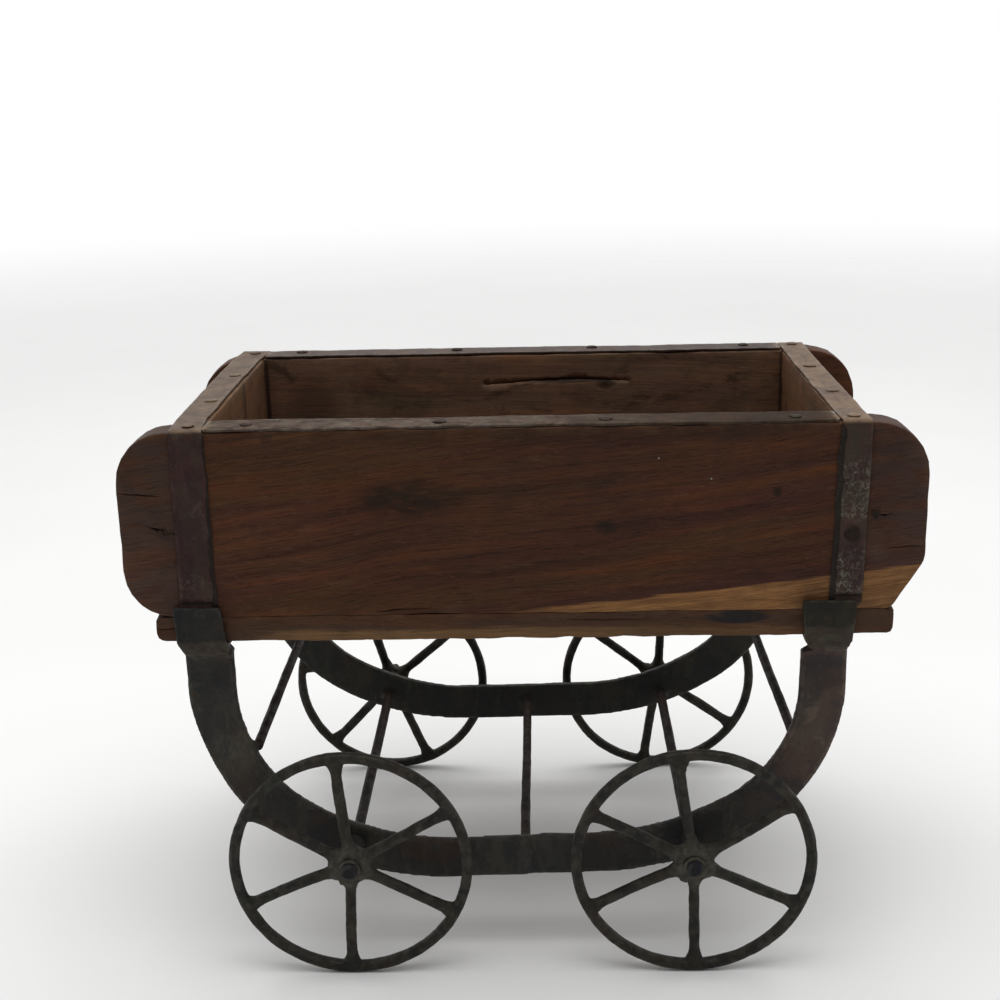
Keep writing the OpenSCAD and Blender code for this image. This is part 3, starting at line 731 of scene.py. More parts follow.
def sapwood(s):
    """Pale sapwood low on the front board's right, with a reddish fringe above it."""
    heartwood = s.colour
    pale = [(0.30, (0.185, 0.084, 0.031)), (0.55, (0.280, 0.138, 0.052)), (0.75, (0.36, 0.190, 0.078))]
    s.colour = s.ramp(s.noise((0.02, 0.3, 0.8), 4.0, 0.6, 0.3, 33.0, s.grain), pale)
    s.tint(s.ramp(s.fibre, [(0.30, (0.62, 0.58, 0.55)), (0.5, (1, 1, 1)), (0.8, (1.1, 1.1, 1.1))]), 0.9)
    dingy = s.patches(((0.03, 0.2, 0.22), 4.0, 0.65, 0.7, 35.0), 0.46, 0.66, 0.0, 0.48)
    s.paint((0.110, 0.054, 0.028), dingy)
    tired = s.scaled(s.step(s.x, 50.0, 0.0), 0.24, s.times(s.step(s.x, 132.0, 142.0), 0.25))
    s.paint((0.150, 0.070, 0.034), tired)
    reach = s.minus(s.x, 2.0)
    line = s.scaled(reach, 0.095, s.scaled(s.times(reach, reach), 0.00010, 161.8))
    ragged = s.noise((0.02, 0.1, 0.6), 3.0, 0.6, 0.4, 31.0)
    above = s.minus(s.z, s.scaled(s.minus(ragged, 0.5), 3.2, line))
    inside = s.times(s.step(above, 0.45, -0.45), s.step(s.x, -14.0, 22.0), 0.93)
    s.colour = s.mix(inside, heartwood, s.colour)
    s.paint((0.045, 0.020, 0.016), s.step(s.math("ABSOLUTE", s.minus(above, 2.6)), 2.8, 0.6), 0.35)


def front_marks(s):
    """The front board: greyer ears, pale sapwood low on the right, and dark knots."""
    ears = s.step(s.reach, 134.0, 143.0)
    greyed = s.patches(((0.05, 0.2, 0.12), 3.0, 0.6, 0.4, 29.0), 0.36, 0.60, 0.25, 0.68)
    s.paint((0.052, 0.0365, 0.0325), ears, greyed)
    low = s.math("MAXIMUM", s.times(ears, s.step(s.z, 205.0, 180.0)), s.spot((-112.0, 186.0), (52.0, 34.0)))
    s.tint((1.28, 1.26, 1.20), low)
    sapwood(s)
    for centre, size, darkness in FRONT_STAINS:
        broken = s.patches(((0.10, 0.3, 0.32), 3.0, 0.6, 0.5, centre[0]), 0.22, 0.60)
        s.paint((0.020, 0.013, 0.009), s.spot(centre, size), broken, darkness)
    for centre in PALE_SPECKS:
        s.paint((0.30, 0.29, 0.26), s.spot(centre, (0.42, 0.42), 0.6))


def dry(s, inner, lift, dust, upright=False):
    """Dry, dusty, blotched wood on the faces towards the inside of the mould, lightened all over by lift as
    painted light, as the inside of the mould gets little light; dust and blotches are laid over that.
    """
    oiled = s.colour
    # Painted light: lift lightens the inner faces all over
    s.tint(lift)
    dusty = s.patches(((0.02, 0.02, 0.05), 4.0, 0.6, 0.5, 71.0), 0.30, 0.65, 0.4, 1.0)
    s.paint((0.190, 0.128, 0.085), dusty, dust)
    olive = s.patches(((0.03, 0.03, 0.06), 4.0, 0.65, 0.7, 79.0), 0.48, 0.66, 0.0, 0.5)
    s.paint((0.085, 0.062, 0.038), olive)
    size = (0.07, 0.09, 0.025) if upright else (0.03, 0.07, 0.07)
    s.paint((0.030, 0.018, 0.012), s.patches((size, 4.0, 0.68, 0.8, 81.0), 0.53, 0.68, 0.0, 0.62))
    s.colour = s.mix(inner, oiled, s.colour)


def base_marks(s):
    """The base board's front: grey above, a ragged pale edge below, and a stain."""
    near_front = s.step(s.y, -80.0, -84.0)
    deck = s.times(s.step(s.z, 160.5, 163.0), s.step(s.reach, 129.0, 127.0))
    dry(s, deck, (1.3, 1.5, 1.6), 0.35)
    grey = s.patches(((0.012, 0.2, 0.16), 3.0, 0.6, 0.4, 40.0), 0.30, 0.60, 0.30, 0.75)
    s.paint((0.058, 0.036, 0.024), grey, near_front)
    ragged = s.noise((0.025, 0.3, 0.35), 4.0, 0.65, 0.6, 41.0)
    stripe = s.step(s.minus(s.z, s.scaled(s.minus(ragged, 0.5), 9.0, 153.6)), 1.6, -1.2)
    along = s.scaled(s.step(s.x, 55.0, 20.0), 0.42, 0.36)
    pale = s.ramp(s.noise((0.03, 0.6, 0.9), 4.0, 0.6, 0.2, 44.0),
                  [(0.3, (0.120, 0.064, 0.028)), (0.6, (0.215, 0.122, 0.055))])
    s.paint(pale, stripe, along, s.step(s.x, -118.0, -92.0), s.step(s.x, 132.0, 105.0), near_front)
    stain = s.patches(((0.12, 0.4, 0.4), 3.0, 0.6, 0.6, 46.0), 0.22, 0.42)
    s.paint((0.018, 0.017, 0.018), s.spot((88.0, 157.6), (15.0, 3.4), 0.6), near_front, stain, 0.95)


# Dark places on the rear board's inner face, as for the front board
REAR_STAINS = (((24.0, 226.0), (26.0, 2.2), 0.8), ((41.0, 224.0), (6.0, 3.4), 0.8),
               ((-104.0, 214.0), (16.0, 20.0), 0.42), ((-126.4, 205.0), (1.5, 60.0), 0.8),
               ((127.5, 205.0), (1.6, 60.0), 0.75), ((60.0, 236.0), (50.0, 3.0), 0.4))
SEAM_DARK = (0.018, 0.011, 0.009)


def rear_marks(s):
    """The rear board: painted light, dust, a dark old split and a knot on its inner face."""
    inner = s.times(s.step(s.y, 70.0, 66.0), s.step(s.reach, 129.5, 126.5))
    # The inner face is lightened about threefold: painted light for the inside of the mould, with dust over
    # it
    dry(s, inner, (2.5, 3.1, 3.3), 0.42)
    for centre, size, darkness in REAR_STAINS:
        s.paint(SEAM_DARK, s.spot(centre, size), inner, darkness)


def end_marks(s):
    """The end boards' inner faces: dust, and dark seams at the corners."""
    inner = s.step(s.reach, 130.0, 128.5)
    dry(s, inner, (1.55, 1.75, 1.65), 0.24, upright=True)
    s.paint(SEAM_DARK, s.step(s.math("ABSOLUTE", s.y), 63.5, 67.5), inner, 0.75)


def strap_top(s):
    """The straps' tops: dust, thick over the ends and thin along the strips but for their
    right ends, and a painted sheen on the front strip that fades out towards its right end."""
    top = s.step(s.z, 238.2, 239.7)
    dust = s.scaled(s.step(s.reach, 120.0, 128.0), 0.56, s.step(s.x, 118.0, 20.0, 0.0, 0.20))
    clouds = s.patches((0.11, 4.0, 0.65, 0.5, 48.0), 0.34, 0.60, 0.50, 1.25)
    strokes = s.patches(((0.35, 0.05, 0.35), 4.0, 0.65, 0.6, 47.0), 0.32, 0.56, 0.70, 1.08)
    pale = s.mix(s.step(s.x, 90.0, 130.0), (0.132, 0.086, 0.052), (0.205, 0.130, 0.074))
    s.paint(pale, dust, clouds, strokes, top)
    strip = s.times(s.step(s.reach, 126.5, 124.5), top, s.step(s.y, -40.0, -60.0))
    # Painted sheen: the front strip's top is brightened to stand in for the grazing reflection that its high
    # roughness, set below, takes away
    s.tint((1.60, 1.86, 1.98), strip)
    # The painted sheen fades out towards the strip's right end, which is left darker
    s.tint((0.49, 0.42, 0.33), strip, s.step(s.x, -40.0, 95.0))
    mottled = s.patches(((0.10, 0.22, 0.22), 4.0, 0.66, 0.8, 49.0), 0.47, 0.60, 0.0, 0.75)
    s.paint((0.040, 0.026, 0.018), mottled, strip)
    s.rough = s.step(strip, 0.0, 1.0, s.rough, 0.95)


def strap_marks(s):
    """Straps: dust on top, pale corroded paint on the right drop, and moss, bruises
    and crumbs of rust on the front faces."""
    strap_top(s)
    front = s.step(s.y, -84.5, -85.6)
    right = s.times(front, s.step(s.x, 110.0, 120.0))
    left = s.times(front, s.step(s.x, -110.0, -120.0))
    upper = s.times(s.step(s.z, 197.0, 202.0), s.step(s.z, 228.0, 218.0))
    lower = s.times(s.step(s.z, 166.0, 170.0), s.step(s.z, 189.0, 185.0))
    flakes = s.times(s.patches((0.50, 5.0, 0.72, 1.0, 51.0), 0.50, 0.57),
                     s.patches((0.12, 3.0, 0.6, 0.5, 53.0), 0.30, 0.50), 0.82)
    s.paint((0.135, 0.128, 0.100), right, s.math("ADD", upper, lower), flakes)
    s.tint((0.82, 0.66, 0.74), left, s.step(s.z, 239.0, 236.5))
    moss = s.patches(((0.10, 0.10, 0.05), 4.0, 0.6, 0.5, 55.0), 0.52, 0.64)
    s.paint((0.044, 0.038, 0.026), moss, front, 0.45)
    bruise = s.patches(((0.12, 0.12, 0.06), 3.0, 0.6, 0.5, 59.0), 0.53, 0.63)
    s.paint((0.030, 0.0165, 0.0175), bruise, front, 0.55)
    foot = s.times(left, s.step(s.z, 166.0, 169.0), s.step(s.z, 181.0, 176.0))
    s.paint((0.11, 0.085, 0.055), foot, s.patches((0.5, 4.0, 0.7, 0.8, 57.0), 0.53, 0.62), 0.45)


def burnt(s, where):
    """Brown and olive scale burnt into the iron at a weld."""
    olive = s.patches(((0.14, 0.14, 0.20), 4.0, 0.65, 0.6, 77.0), 0.46, 0.60)
    s.paint(s.mix(olive, (0.052, 0.0345, 0.0300), (0.062, 0.055, 0.040)), where, 0.72)


def hoop_marks(s):
    """The hoops: a browner right arm at the front, dark at the back, and pale scale
    in upright patches where the front hoop's halves meet and low on its left arc."""
    front = s.step(s.y, 10.0, -10.0)
    s.tint((0.98, 1.04, 1.00), s.minus(1.0, front))
    right = s.times(s.step(s.x, 92.0, 118.0), s.step(s.z, 58.0, 88.0), front)
    s.tint((2.02, 1.66, 1.60), right, 0.9)
    where = s.math("ADD", s.spot((-14.0, 42.0), (42.0, 40.0)), s.spot((-119.0, 98.0), (22.0, 32.0)))
    where = s.math("MULTIPLY", where, 0.46, clamp=True)
    scale = s.patches(((0.15, 0.15, 0.045), 3.0, 0.6, 0.6, 61.0), 0.50, 0.62)
    s.paint((0.078, 0.072, 0.052), scale, front, where)
    crust = s.patches(((0.30, 0.30, 0.16), 4.0, 0.68, 0.7, 63.0), 0.38, 0.58, 0.30, 1.0)
    s.paint((0.082, 0.073, 0.056), crust, s.spot((-124.0, 105.0), (14.0, 25.0), 0.9), front, 0.62)
    blue = s.patches(((0.03, 0.03, 0.04), 2.0, 0.5, 0.4, 65.0), 0.52, 0.64)
    s.paint((0.0190, 0.0200, 0.0215), s.math("MAXIMUM", blue, s.spot((-5.0, 44.0), (70.0, 22.0))), 0.42)
    burnt(s, s.step(s.z, 140.0, 142.5))
    rust = s.patches((0.12, 3.0, 0.6, 0.4, 67.0), 0.35, 0.6)
    s.paint((0.045, 0.022, 0.014), s.spot((-40.0, 50.0), (20.0, 9.0)), front, rust, 0.6)


def wheel_marks(s):
    """The wheels: paler, crustier welds round the hubs."""
    away = s.length(s.minus(s.math("ABSOLUTE", s.math("ADD", s.x, 2.0)), 72.75), s.minus(s.z, 52.0))
    crust = s.patches((0.30, 4.0, 0.65, 0.4, 69.0), 0.40, 0.62, 0.35, 1.0)
    s.paint((0.078, 0.072, 0.056), crust, s.step(away, 13.0, 8.0), 0.75)


def axle_marks(s):
    """The axles: rusty rods whose hammered ends are dark and bluish."""
    rusty = s.patches((0.10, 3.0, 0.6, 0.3, 73.0), 0.38, 0.6)
    s.paint(s.mix(rusty, (0.020, 0.0155, 0.0135), (0.036, 0.0225, 0.0165)),
            s.step(s.math("ABSOLUTE", s.y), 101.0, 99.0), 0.85)


def bracket_marks(s):
    """The brackets: the right ones are more olive, and all are brown at the fold."""
    right = s.step(s.x, 0.0, 60.0)
    s.tint((1.15, 1.08, 0.82), right)
    fold = s.scaled(s.noise(0.12, 3.0, 0.6, 0.4, 75.0), 7.0, s.scaled(right, 3.2, 147.4))
    burnt(s, s.step(s.minus(fold, s.z), -0.8, 1.2))


MATERIALS = {
    "front": wood("wood_front", front_marks, pith=(-20.0, 96.0), slope=0.13),
    "rear": wood("wood_rear", rear_marks, pith=(40.0, 290.0), slope=-0.03, shift=20.0, tone=1.1),
    "left": wood("wood_left", end_marks, along="y", pith=(-90.0, 120.0), slope=0.02, shift=40.0, tone=1.1),
    "right": wood("wood_right", end_marks, along="y", pith=(170.0, 280.0), slope=-0.03, shift=60.0,
                  tone=1.2),
    "base": wood("wood_base", base_marks, pith=(30.0, 60.0), slope=0.01, shift=80.0),
    "strap": iron("strap_iron", (0.039, 0.0225, 0.0205), (0.056, 0.0310, 0.0245), (0.110, 0.082, 0.064),
                  (0.066, 0.034, 0.022), olive=(0.044, 0.034, 0.026), rust_amount=0.45, wear_amount=0.30,
                  shift=100.0, rough=(0.40, 0.68), marks=strap_marks),
    "nail": iron("nail_iron", (0.026, 0.017, 0.014), (0.040, 0.022, 0.016), (0.085, 0.060, 0.046),
                 (0.055, 0.025, 0.015), wear_amount=0.4, shift=120.0, rough=(0.80, 0.95)),
    "frame": iron("frame_iron", (0.0275, 0.0270, 0.0270), (0.040, 0.0325, 0.0275), (0.080, 0.070, 0.056),
                  (0.062, 0.036, 0.024), olive=(0.0390, 0.0380, 0.0300), rust_amount=0.36, wear_amount=0.35,
                  shift=140.0, marks=hoop_marks),
    "bracket": iron("bracket_iron", (0.0150, 0.0158, 0.0175), (0.0245, 0.0212, 0.0190), (0.052, 0.048, 0.040),
                    (0.044, 0.026, 0.018), olive=(0.0225, 0.0228, 0.0185), rust_amount=0.30, wear_amount=0.40,
                    shift=220.0, marks=bracket_marks),
    "rod": iron("rod_iron", (0.022, 0.0150, 0.0135), (0.034, 0.0200, 0.0155), (0.056, 0.042, 0.034),
                (0.050, 0.024, 0.015), olive=(0.024, 0.0190, 0.0155), wear_amount=0.35, specular=0.06,
                metallic=0.0, shift=160.0),
    "axle": iron("axle_iron", (0.0125, 0.0150, 0.0200), (0.0180, 0.0190, 0.0210), (0.050, 0.048, 0.046),
                 (0.030, 0.022, 0.018), olive=(0.019, 0.021, 0.022), rust_amount=0.3, specular=0.08,
                 metallic=0.0, shift=200.0, marks=axle_marks),
    "wheel": iron("wheel_iron", (0.0195, 0.0198, 0.0185), (0.030, 0.0250, 0.0200), (0.064, 0.057, 0.044),
                  (0.050, 0.030, 0.019), olive=(0.0270, 0.0280, 0.0205), rust_amount=0.36, wear_amount=0.45,
                  shift=180.0, marks=wheel_marks),
}


# ---- The mould ----

def board(name, node, outline, depth, place, material, seed, slot="wood_mould", cracks=((), ()), arris=1.3,
          cell=2.6, step=2.2, ring_step=None, **wear):
    """A worn board as a piece of the cart. cell is the grain of its flat faces and
    step that of its outline; wear is what weather takes."""
    solid = slab(outline, depth, place, arris, cell, step, cracks, seed, ring_step)
    points, normals, faces, near, dark = solid
    points = weather(points, normals, near, seed, **wear)
    points = points - normals * dark[:, None]
    mesh = make_mesh(name, points, faces, edge=near, crack=dark)
    piece(name, mesh, MATERIALS[material], "cart", [node])


# Each crack is its points, then its width and its depth.
FRONT_CRACKS = ((((-163.0, 214.0), (-152.0, 213.0), (-146.0, 212.6)), 0.7, 1.1),
                (((-150.5, 199.2), (-147.5, 198.4), (-146.2, 198.3)), 1.9, 1.6),
                (((143.2, 200.9), (146.0, 200.4), (147.8, 200.6)), 1.5, 1.2),
                (((148.0, 186.5), (155.0, 187.0), (162.5, 187.3)), 0.6, 0.9),
                (((-60.0, 161.6), (-52.0, 162.6), (-38.0, 162.9)), 0.6, 0.8))
REAR_INNER_CRACKS = ((((-18.0, 224.2), (6.0, 226.0), (30.0, 226.6), (52.0, 225.2)), 1.0, 1.5),
                     (((70.0, 196.0), (96.0, 196.8), (118.0, 196.2)), 0.7, 1.0))
REAR_OUTER_CRACKS = ((((-157.0, 190.0), (-143.0, 190.8), (-120.0, 190.4)), 0.9, 1.4),
                     (((163.0, 214.0), (140.0, 214.8), (110.0, 214.0)), 0.8, 1.3),
                     (((-40.0, 205.0), (-5.0, 206.4), (35.0, 205.6)), 0.7, 1.0))
END_CRACKS = (((((-60.0, 206.0), (-30.0, 207.0), (-6.0, 206.2)), 0.8, 1.2),),
              ((((10.0, 190.0), (34.0, 191.0), (61.0, 190.4)), 0.8, 1.2),))
BASE_CRACKS = (((((-151.0, 155.0), (-138.0, 155.6), (-124.0, 155.2)), 0.7, 1.2),
                (((18.0, 157.4), (34.0, 157.0), (52.0, 157.3)), 0.5, 0.7)),
               ((((60.0, 154.0), (90.0, 154.8), (122.0, 154.2)), 0.7, 1.0),))


def side_board(side, seed, cracks, left_top, left_low=20.0, longer=0.0):
    """A side board, whose ears are rounded but for one corner sawn off low on the
    right. longer is how far the left ear reaches past the CAD model's."""
    node = "side_board_" + side
    low, high = box(node)
    x0, x1, z0, z1 = low[0] - longer, high[0], low[2] - 0.45, high[2]
    outline = rounded([(x1 - 13.0, z0, 5.0), (x1, z0 + 21.0, 9.0), (x1, z1, 22.0), (x0, z1, left_top),
                       (x0, z0, left_low)])
    board(node, node, outline, high[1] - low[1], lambda u, v, w: (u, low[1] + w, v), side, seed,
          cracks=cracks, arris=0.9, chip=0.35, wave=0.2)


def end_board(hand, seed):
    node = "end_board_" + hand
    low, high = box(node)
    outline = worn_rectangle((low[1] + 0.5, low[2]), (high[1] - 0.5, high[2]), 1.5)
    board(node, node, outline, high[0] - low[0], lambda u, v, w: (high[0] - w, u, v), hand, seed,
          cracks=END_CRACKS, arris=1.1)


def base_board():
    """The base board, and the raised stock on it that fills the cavity's floor."""
    low, high = box("base_board")
    deck = low[2] + 11.8
    outline = rounded([(low[0], low[2], 3.8), (high[0], low[2], 3.2), (high[0], deck, 1.4),
                       (low[0], deck, 1.8)], 5)
    board("base_board", "base_board", outline, high[1] - low[1], lambda u, v, w: (u, low[1] + w, v),
          "base", 41, "wood_base", BASE_CRACKS, arris=0.9, cell=2.2, step=2.0, ring_step=3.0,
          wave=0.12, dent=0.3, chip=0.5)
    left, right = box("end_board_left"), box("end_board_right")
    front, rear = box("side_board_front"), box("side_board_rear")
    stock = worn_rectangle((left[1][0], front[1][1]), (right[0][0], rear[0][1]), 2.0)
    board("base_stock", "base_board", stock, high[2] - deck + 2.0, lambda u, v, w: (u, v, high[2] - w),
          "base", 43, "wood_base", arris=0.8, cell=4.0, step=4.0, wave=0.15, dent=0.3, chip=0.3)


side_board("front", 11, (FRONT_CRACKS, ()), 21.5)
side_board("rear", 23, (REAR_INNER_CRACKS, REAR_OUTER_CRACKS), 22.0, longer=1.5)
end_board("left", 31)
end_board("right", 37)
base_board()


# ---- Straps, strips and nails ----

def top_strip(side, seed):
    """A strip along a side board's top edge, with wavy edges and a bent-down lip."""
    node = "top_strip_" + side
    low, high = box(node)
    outline = worn_rectangle(low, high, 1.0)
    points, normals, faces, near, dark = slab(outline, high[2] - low[2], lambda u, v, w: (u, v, high[2] - w),
                                              0.32, 2.2, 1.8, seed=seed)
    along = points * (1, 0, 0)
    off = points[:, 1] - (low[1] + high[1]) / 2
    edge = np.sign(off) * (np.abs(off) > 6.0)
    points[:, 1] -= edge * (0.45 + 0.55 * lumps(along, 19, seed))
    points[:, 1] -= edge * 0.30 * hollows(along, 4.5, seed + 1)
    flat = points * (1, 1, 0)
    points[:, 2] += 0.26 * lumps(flat, 26, seed + 2) + 0.10
    points[:, 2] -= 0.16 * hollows(flat, 6, seed + 3, 0.1)
    outer = low[1] if side == "front" else high[1]
    lip = unit(1 - np.abs(points[:, 1] - outer) / 3.5)
    points[:, 2] -= lip * 0.35 * (1 + lumps(along, 30, seed + 5))
    points = points - normals * (0.06 * (1 + lumps(points, 2.0, seed + 4)))[:, None]
    mesh = make_mesh(node, points, faces, edge=near, crack=dark)
    piece(node, mesh, MATERIALS["strap"], "cart", [node])


def strap_path(low, high, half, bend):
    """(y, z, outward y, outward z) along the middle of a strap's thickness: up the
    front, round a bend, over the end board, and down the rear."""
    top, bottom = high[2] - half, low[2]
    front, rear = low[1] + half, high[1] - half
    path = [(front, z, -1.0, 0.0) for z in np.arange(bottom, top - bend, 1.0)]
    path += [(front + bend - bend * math.cos(a), top - bend + bend * math.sin(a), -math.cos(a), math.sin(a))
             for a in np.radians((0, 22.5, 45, 67.5))]
    path += [(y, top, 0.0, 1.0) for y in np.linspace(front + bend, rear - bend, 118)]
    path += [(rear - bend + bend * math.sin(a), top - bend + bend * math.cos(a), math.sin(a), math.cos(a))
             for a in np.radians((22.5, 45, 67.5, 90))]
    path += [(rear, z, 1.0, 0.0) for z in np.arange(top - bend - 1.0, bottom - 0.1, -1.0)]
    return np.array(path)


STRAP_THICK, STRAP_BEND, STRAP_HALF = 1.2, 1.9, 6.25    # its bends' radius, and half its width


def strap_edges(spine, ends, rim, foot, seed, flare, lap):
    """Along a strap's spine: its inner and outer edges, outboard of its middle, the
    width of the sunken band along the inner edge of its drops, and the gap, a band
    just above the brackets' tops; both are sunk and painted dark as a shadow."""
    y, z = spine[:, 1], spine[:, 2]
    front, rear, bottom, top, bracket_top = ends
    fall = unit((top - z) / (top - bottom))
    flat = unit((z - (top - STRAP_BEND)) / STRAP_BEND)
    inland = unit(np.minimum(y - front, rear - y) / 22.0) * flat
    outside = STRAP_HALF + flare[0] + (flare[1] - flare[0]) * (y - front) / (rear - front)
    outer = (rim[0] + (foot[0] - rim[0]) * fall) * (1 - inland) + outside * inland
    inner = (rim[1] + (foot[1] - rim[1]) * fall) * (1 - inland) + (flare[2] - STRAP_HALF) * inland
    on_drop = 1 - unit((z - (top - STRAP_BEND - 1.0)) / (STRAP_BEND + 1.0))
    band = (lap[0] + lap[1] * fall) * on_drop
    outer = outer - 0.28 - 0.28 * lumps(spine, 14, seed) - 0.16 * lumps(spine, 4, seed + 1)
    inner = inner + 0.28 + 0.28 * lumps(spine, 15, seed + 2) + 0.16 * lumps(spine, 4, seed + 3)
    count = np.arange(len(spine))
    pinch = unit(1 - np.minimum(count, count[::-1]) / 2.0) ** 2 * 1.4
    tuck = 3.4 * unit((bracket_top - 1.6 - z) / 2.4)
    outer, inner = outer - pinch - tuck, inner + pinch
    inner = inner - band * (0.55 + 0.3 * lumps(spine, 9, seed + 11))
    band = band * (1.15 + 0.30 * lumps(spine, 6, seed + 12) + 0.16 * lumps(spine, 2.5, seed + 13))
    # The gap: a band just above the brackets' tops, sunk and painted dark as a shadow under the strap's end
    gap = np.where(inland > 0, 0.0, np.exp(-((z - bracket_top - 1.3) / 1.15) ** 4))
    return inner, outer, band, gap


def end_strap(hand, rim, foot, seed, pitted, flare=(0.0, 0.0, 0.0), lap=(1.4, 0.4)):
    """A strap over an end board and down both faces of the mould. rim and foot are
    the outer and inner edges of its drops, outboard of the strap's middle. flare is
    how far its outer edge stands out on top, at the front and at the rear, and its
    inner edge. lap is the width of the sunken band, painted dark as a shadow, along the
    drops' inner edge at the rim, and how much wider it is at the foot."""
    node = "end_strap_" + hand
    low, high = box(node)
    board_low, board_high = box("end_board_" + hand)
    side = -1.0 if hand == "left" else 1.0
    middle = side * (abs(board_low[0] + board_high[0]) / 2)
    half = STRAP_THICK / 2
    path = strap_path(low, high, half, STRAP_BEND)
    n = len(path)
    y, z = path[:, 0], path[:, 1]
    spine = np.column_stack([np.full(n, middle), y, z])
    ends = (low[1] + half, high[1] - half, low[2], high[2] - half, box("bracket_front_left")[1][2])
    inner, outer, band, gap = strap_edges(spine, ends, rim, foot, seed, flare, lap)
    sway = 0.22 * lumps(spine, 24, seed + 4) + 0.10 * lumps(spine, 8, seed + 5)
    across = np.linspace(0.03, 0.97, 21)
    columns = [(t, 1.0) for t in across] + [(1.0, 0.45), (1.0, -0.45)]
    columns += [(t, -1.0) for t in across[::-1]] + [(0.0, -0.45), (0.0, 0.45)]
    t, level = np.array(columns).T[:, None, :]
    reach = (outer - inner)[:, None] * t
    # The sunken band and the gap: sunk here, and painted dark as a shadow through the crack layer below
    under = np.maximum(gap[:, None], unit((band[:, None] - reach) / 0.5)) * (level > 0)
    sink = 0.85 * STRAP_THICK * under * np.where(gap[:, None] < under, 0.6, 0.9)
    off = level * half + sway[:, None] - sink
    points = np.stack([middle + side * (inner[:, None] + reach), y[:, None] + path[:, 2:3] * off,
                       z[:, None] + path[:, 3:4] * off], axis=2).reshape(-1, 3)
    near = np.tile(np.exp(-np.minimum(t, 1 - t) * 12.5 / 1.2), (n, 1)).ravel()
    pits = 0.10 * hollows(points, 5, seed + 6) + 0.08 * hollows(points, 2.2, seed + 7)
    if pitted:
        face = np.repeat((y < ends[0] + 0.1) & (z > 168), len(columns))
        pits += face * (0.28 * hollows(points, 3.2, seed + 8, 0.1) + 0.16 * hollows(points, 1.7, seed + 9))
    pits = pits * np.tile(level > 0.9, (n, 1)).ravel()
    facing = np.repeat(np.column_stack([np.zeros(n), path[:, 2:]]), len(columns), axis=0)
    points = points - facing * pits[:, None]
    # The crack layer: pits, which get rust, and past 1 the sunken band and the gap, which the iron paints
    # near black as painted shadow
    dark = np.maximum(unit(pits * 2.2), 1.6 * under.ravel())
    mesh = make_mesh(node, points, tube_faces(n, len(columns)), edge=near, crack=dark)
    piece(node, mesh, MATERIALS["strap"], "cart", [node])


def studs(node, out, head, seed, material="nail", sides=16):
    """Hand-forged nail heads, where the CAD model's nails are; out is 1 where they
    face up and -1 where they face down."""
    shank, rim = [(0.55, -3.0), (0.62, -0.9)], [(0.97, -0.75), (1.0, -0.38)]
    rings = shank + rim + [(0.90, -0.16), (0.66, -0.04), (0.34, 0.0)]
    shells = Shells()
    for number, (low, high, _) in enumerate(islands(node)):
        tip = high[2] if out > 0 else low[2]
        centre = (low + high) / 2
        rng = np.random.default_rng(seed + number)
        lean = rng.uniform(-0.35, 0.35, 2)
        stretch = rng.uniform(0.86, 1.0, 2)
        points = []
        for r, h in rings:
            for k in range(sides):
                t = TURN * k / sides
                wobble = 1 - 0.13 * (0.5 + 0.5 * math.sin(3 * t + 6 * rng.random()))
                size = head / 2 * r * stretch * wobble
                points.append((centre[0] + size[0] * math.cos(t) + lean[0],
                               centre[1] + size[1] * math.sin(t) + lean[1], tip + out * h))
        shells.add(points, tube_faces(len(rings), sides))
    plain(node, shells, material)


def drop_nails():
    """Round rivet-like heads on the straps' drops, front and rear."""
    shells = Shells()
    for number, (low, high, _) in enumerate(islands("drop_nails")):
        out, face = (-1.0, low[1]) if low[1] < 0 else (1.0, high[1])
        x, z = (low[0] + high[0]) / 2, (low[2] + high[2]) / 2
        shells.ball((x, face - out * 0.75, z), (3.7, 0.95, 3.6), 300 + number, 0.12, 10, 18)
        shells.bar([(x, face - out * 6, z), (x, face - out * 0.5, z)], (1.4, 1.4), 10)
    forged("drop_nails", shells, 0.35, 3, (3.0, 0.15), "nail", "cart", ["drop_nails"],
           seed=7, grow=0.02)


def stub_nails():
    """The bent stub in the left ear and the stub that stands out of the right."""
    (low, high, _), right = islands("stub_nails")
    x, face, z = low[0] + 0.6, low[1] + 1.6, high[2] - 0.8
    bent = [(0.0, 5.0, 0.0), (0.0, -0.4, 0.0), (0.9, -0.9, -0.7), (2.6, -1.0, -1.6), (4.4, -0.8, -1.8),
            (6.0, -0.3, -1.5)]
    shells = Shells()
    shells.bar(np.array(bent) + (x, face, z), (0.7, 0.75, 0.75, 0.7, 0.62, 0.45), 10, 5, 0.1)
    x, z = (right[0][0] + right[1][0]) / 2, (right[0][2] + right[1][2]) / 2
    shells.bar([(x, face + 6, z), (x, face - 1.2, z)], (0.75, 0.8), 10)
    shells.ball((x, face - 1.3, z), (1.9, 0.7, 1.7), 8, 0.15)
    forged("stub_nails", shells, 0.3, 2, (2.0, 0.12), "nail", "cart", ["stub_nails"],
           seed=9, grow=0.02)


top_strip("front", 51)
top_strip("rear", 53)
end_strap("left", (7.0, -7.25), (7.9, -7.25), 61, False, (1.5, 2.8, 1.2), (0.9, 1.3))
end_strap("right", (6.75, -5.75), (5.25, -7.25), 71, True, lap=(2.1, 0.7))
studs("strip_nails_front", 1, 6.2, 100)
studs("strip_nails_rear", 1, 6.2, 110)
studs("strap_nails_left", 1, 6.4, 120, "strap")
studs("strap_nails_right", 1, 6.4, 130, "strap")
studs("base_nails", -1, 6.0, 140)
drop_nails()
stub_nails()


# ---- The carriage ----

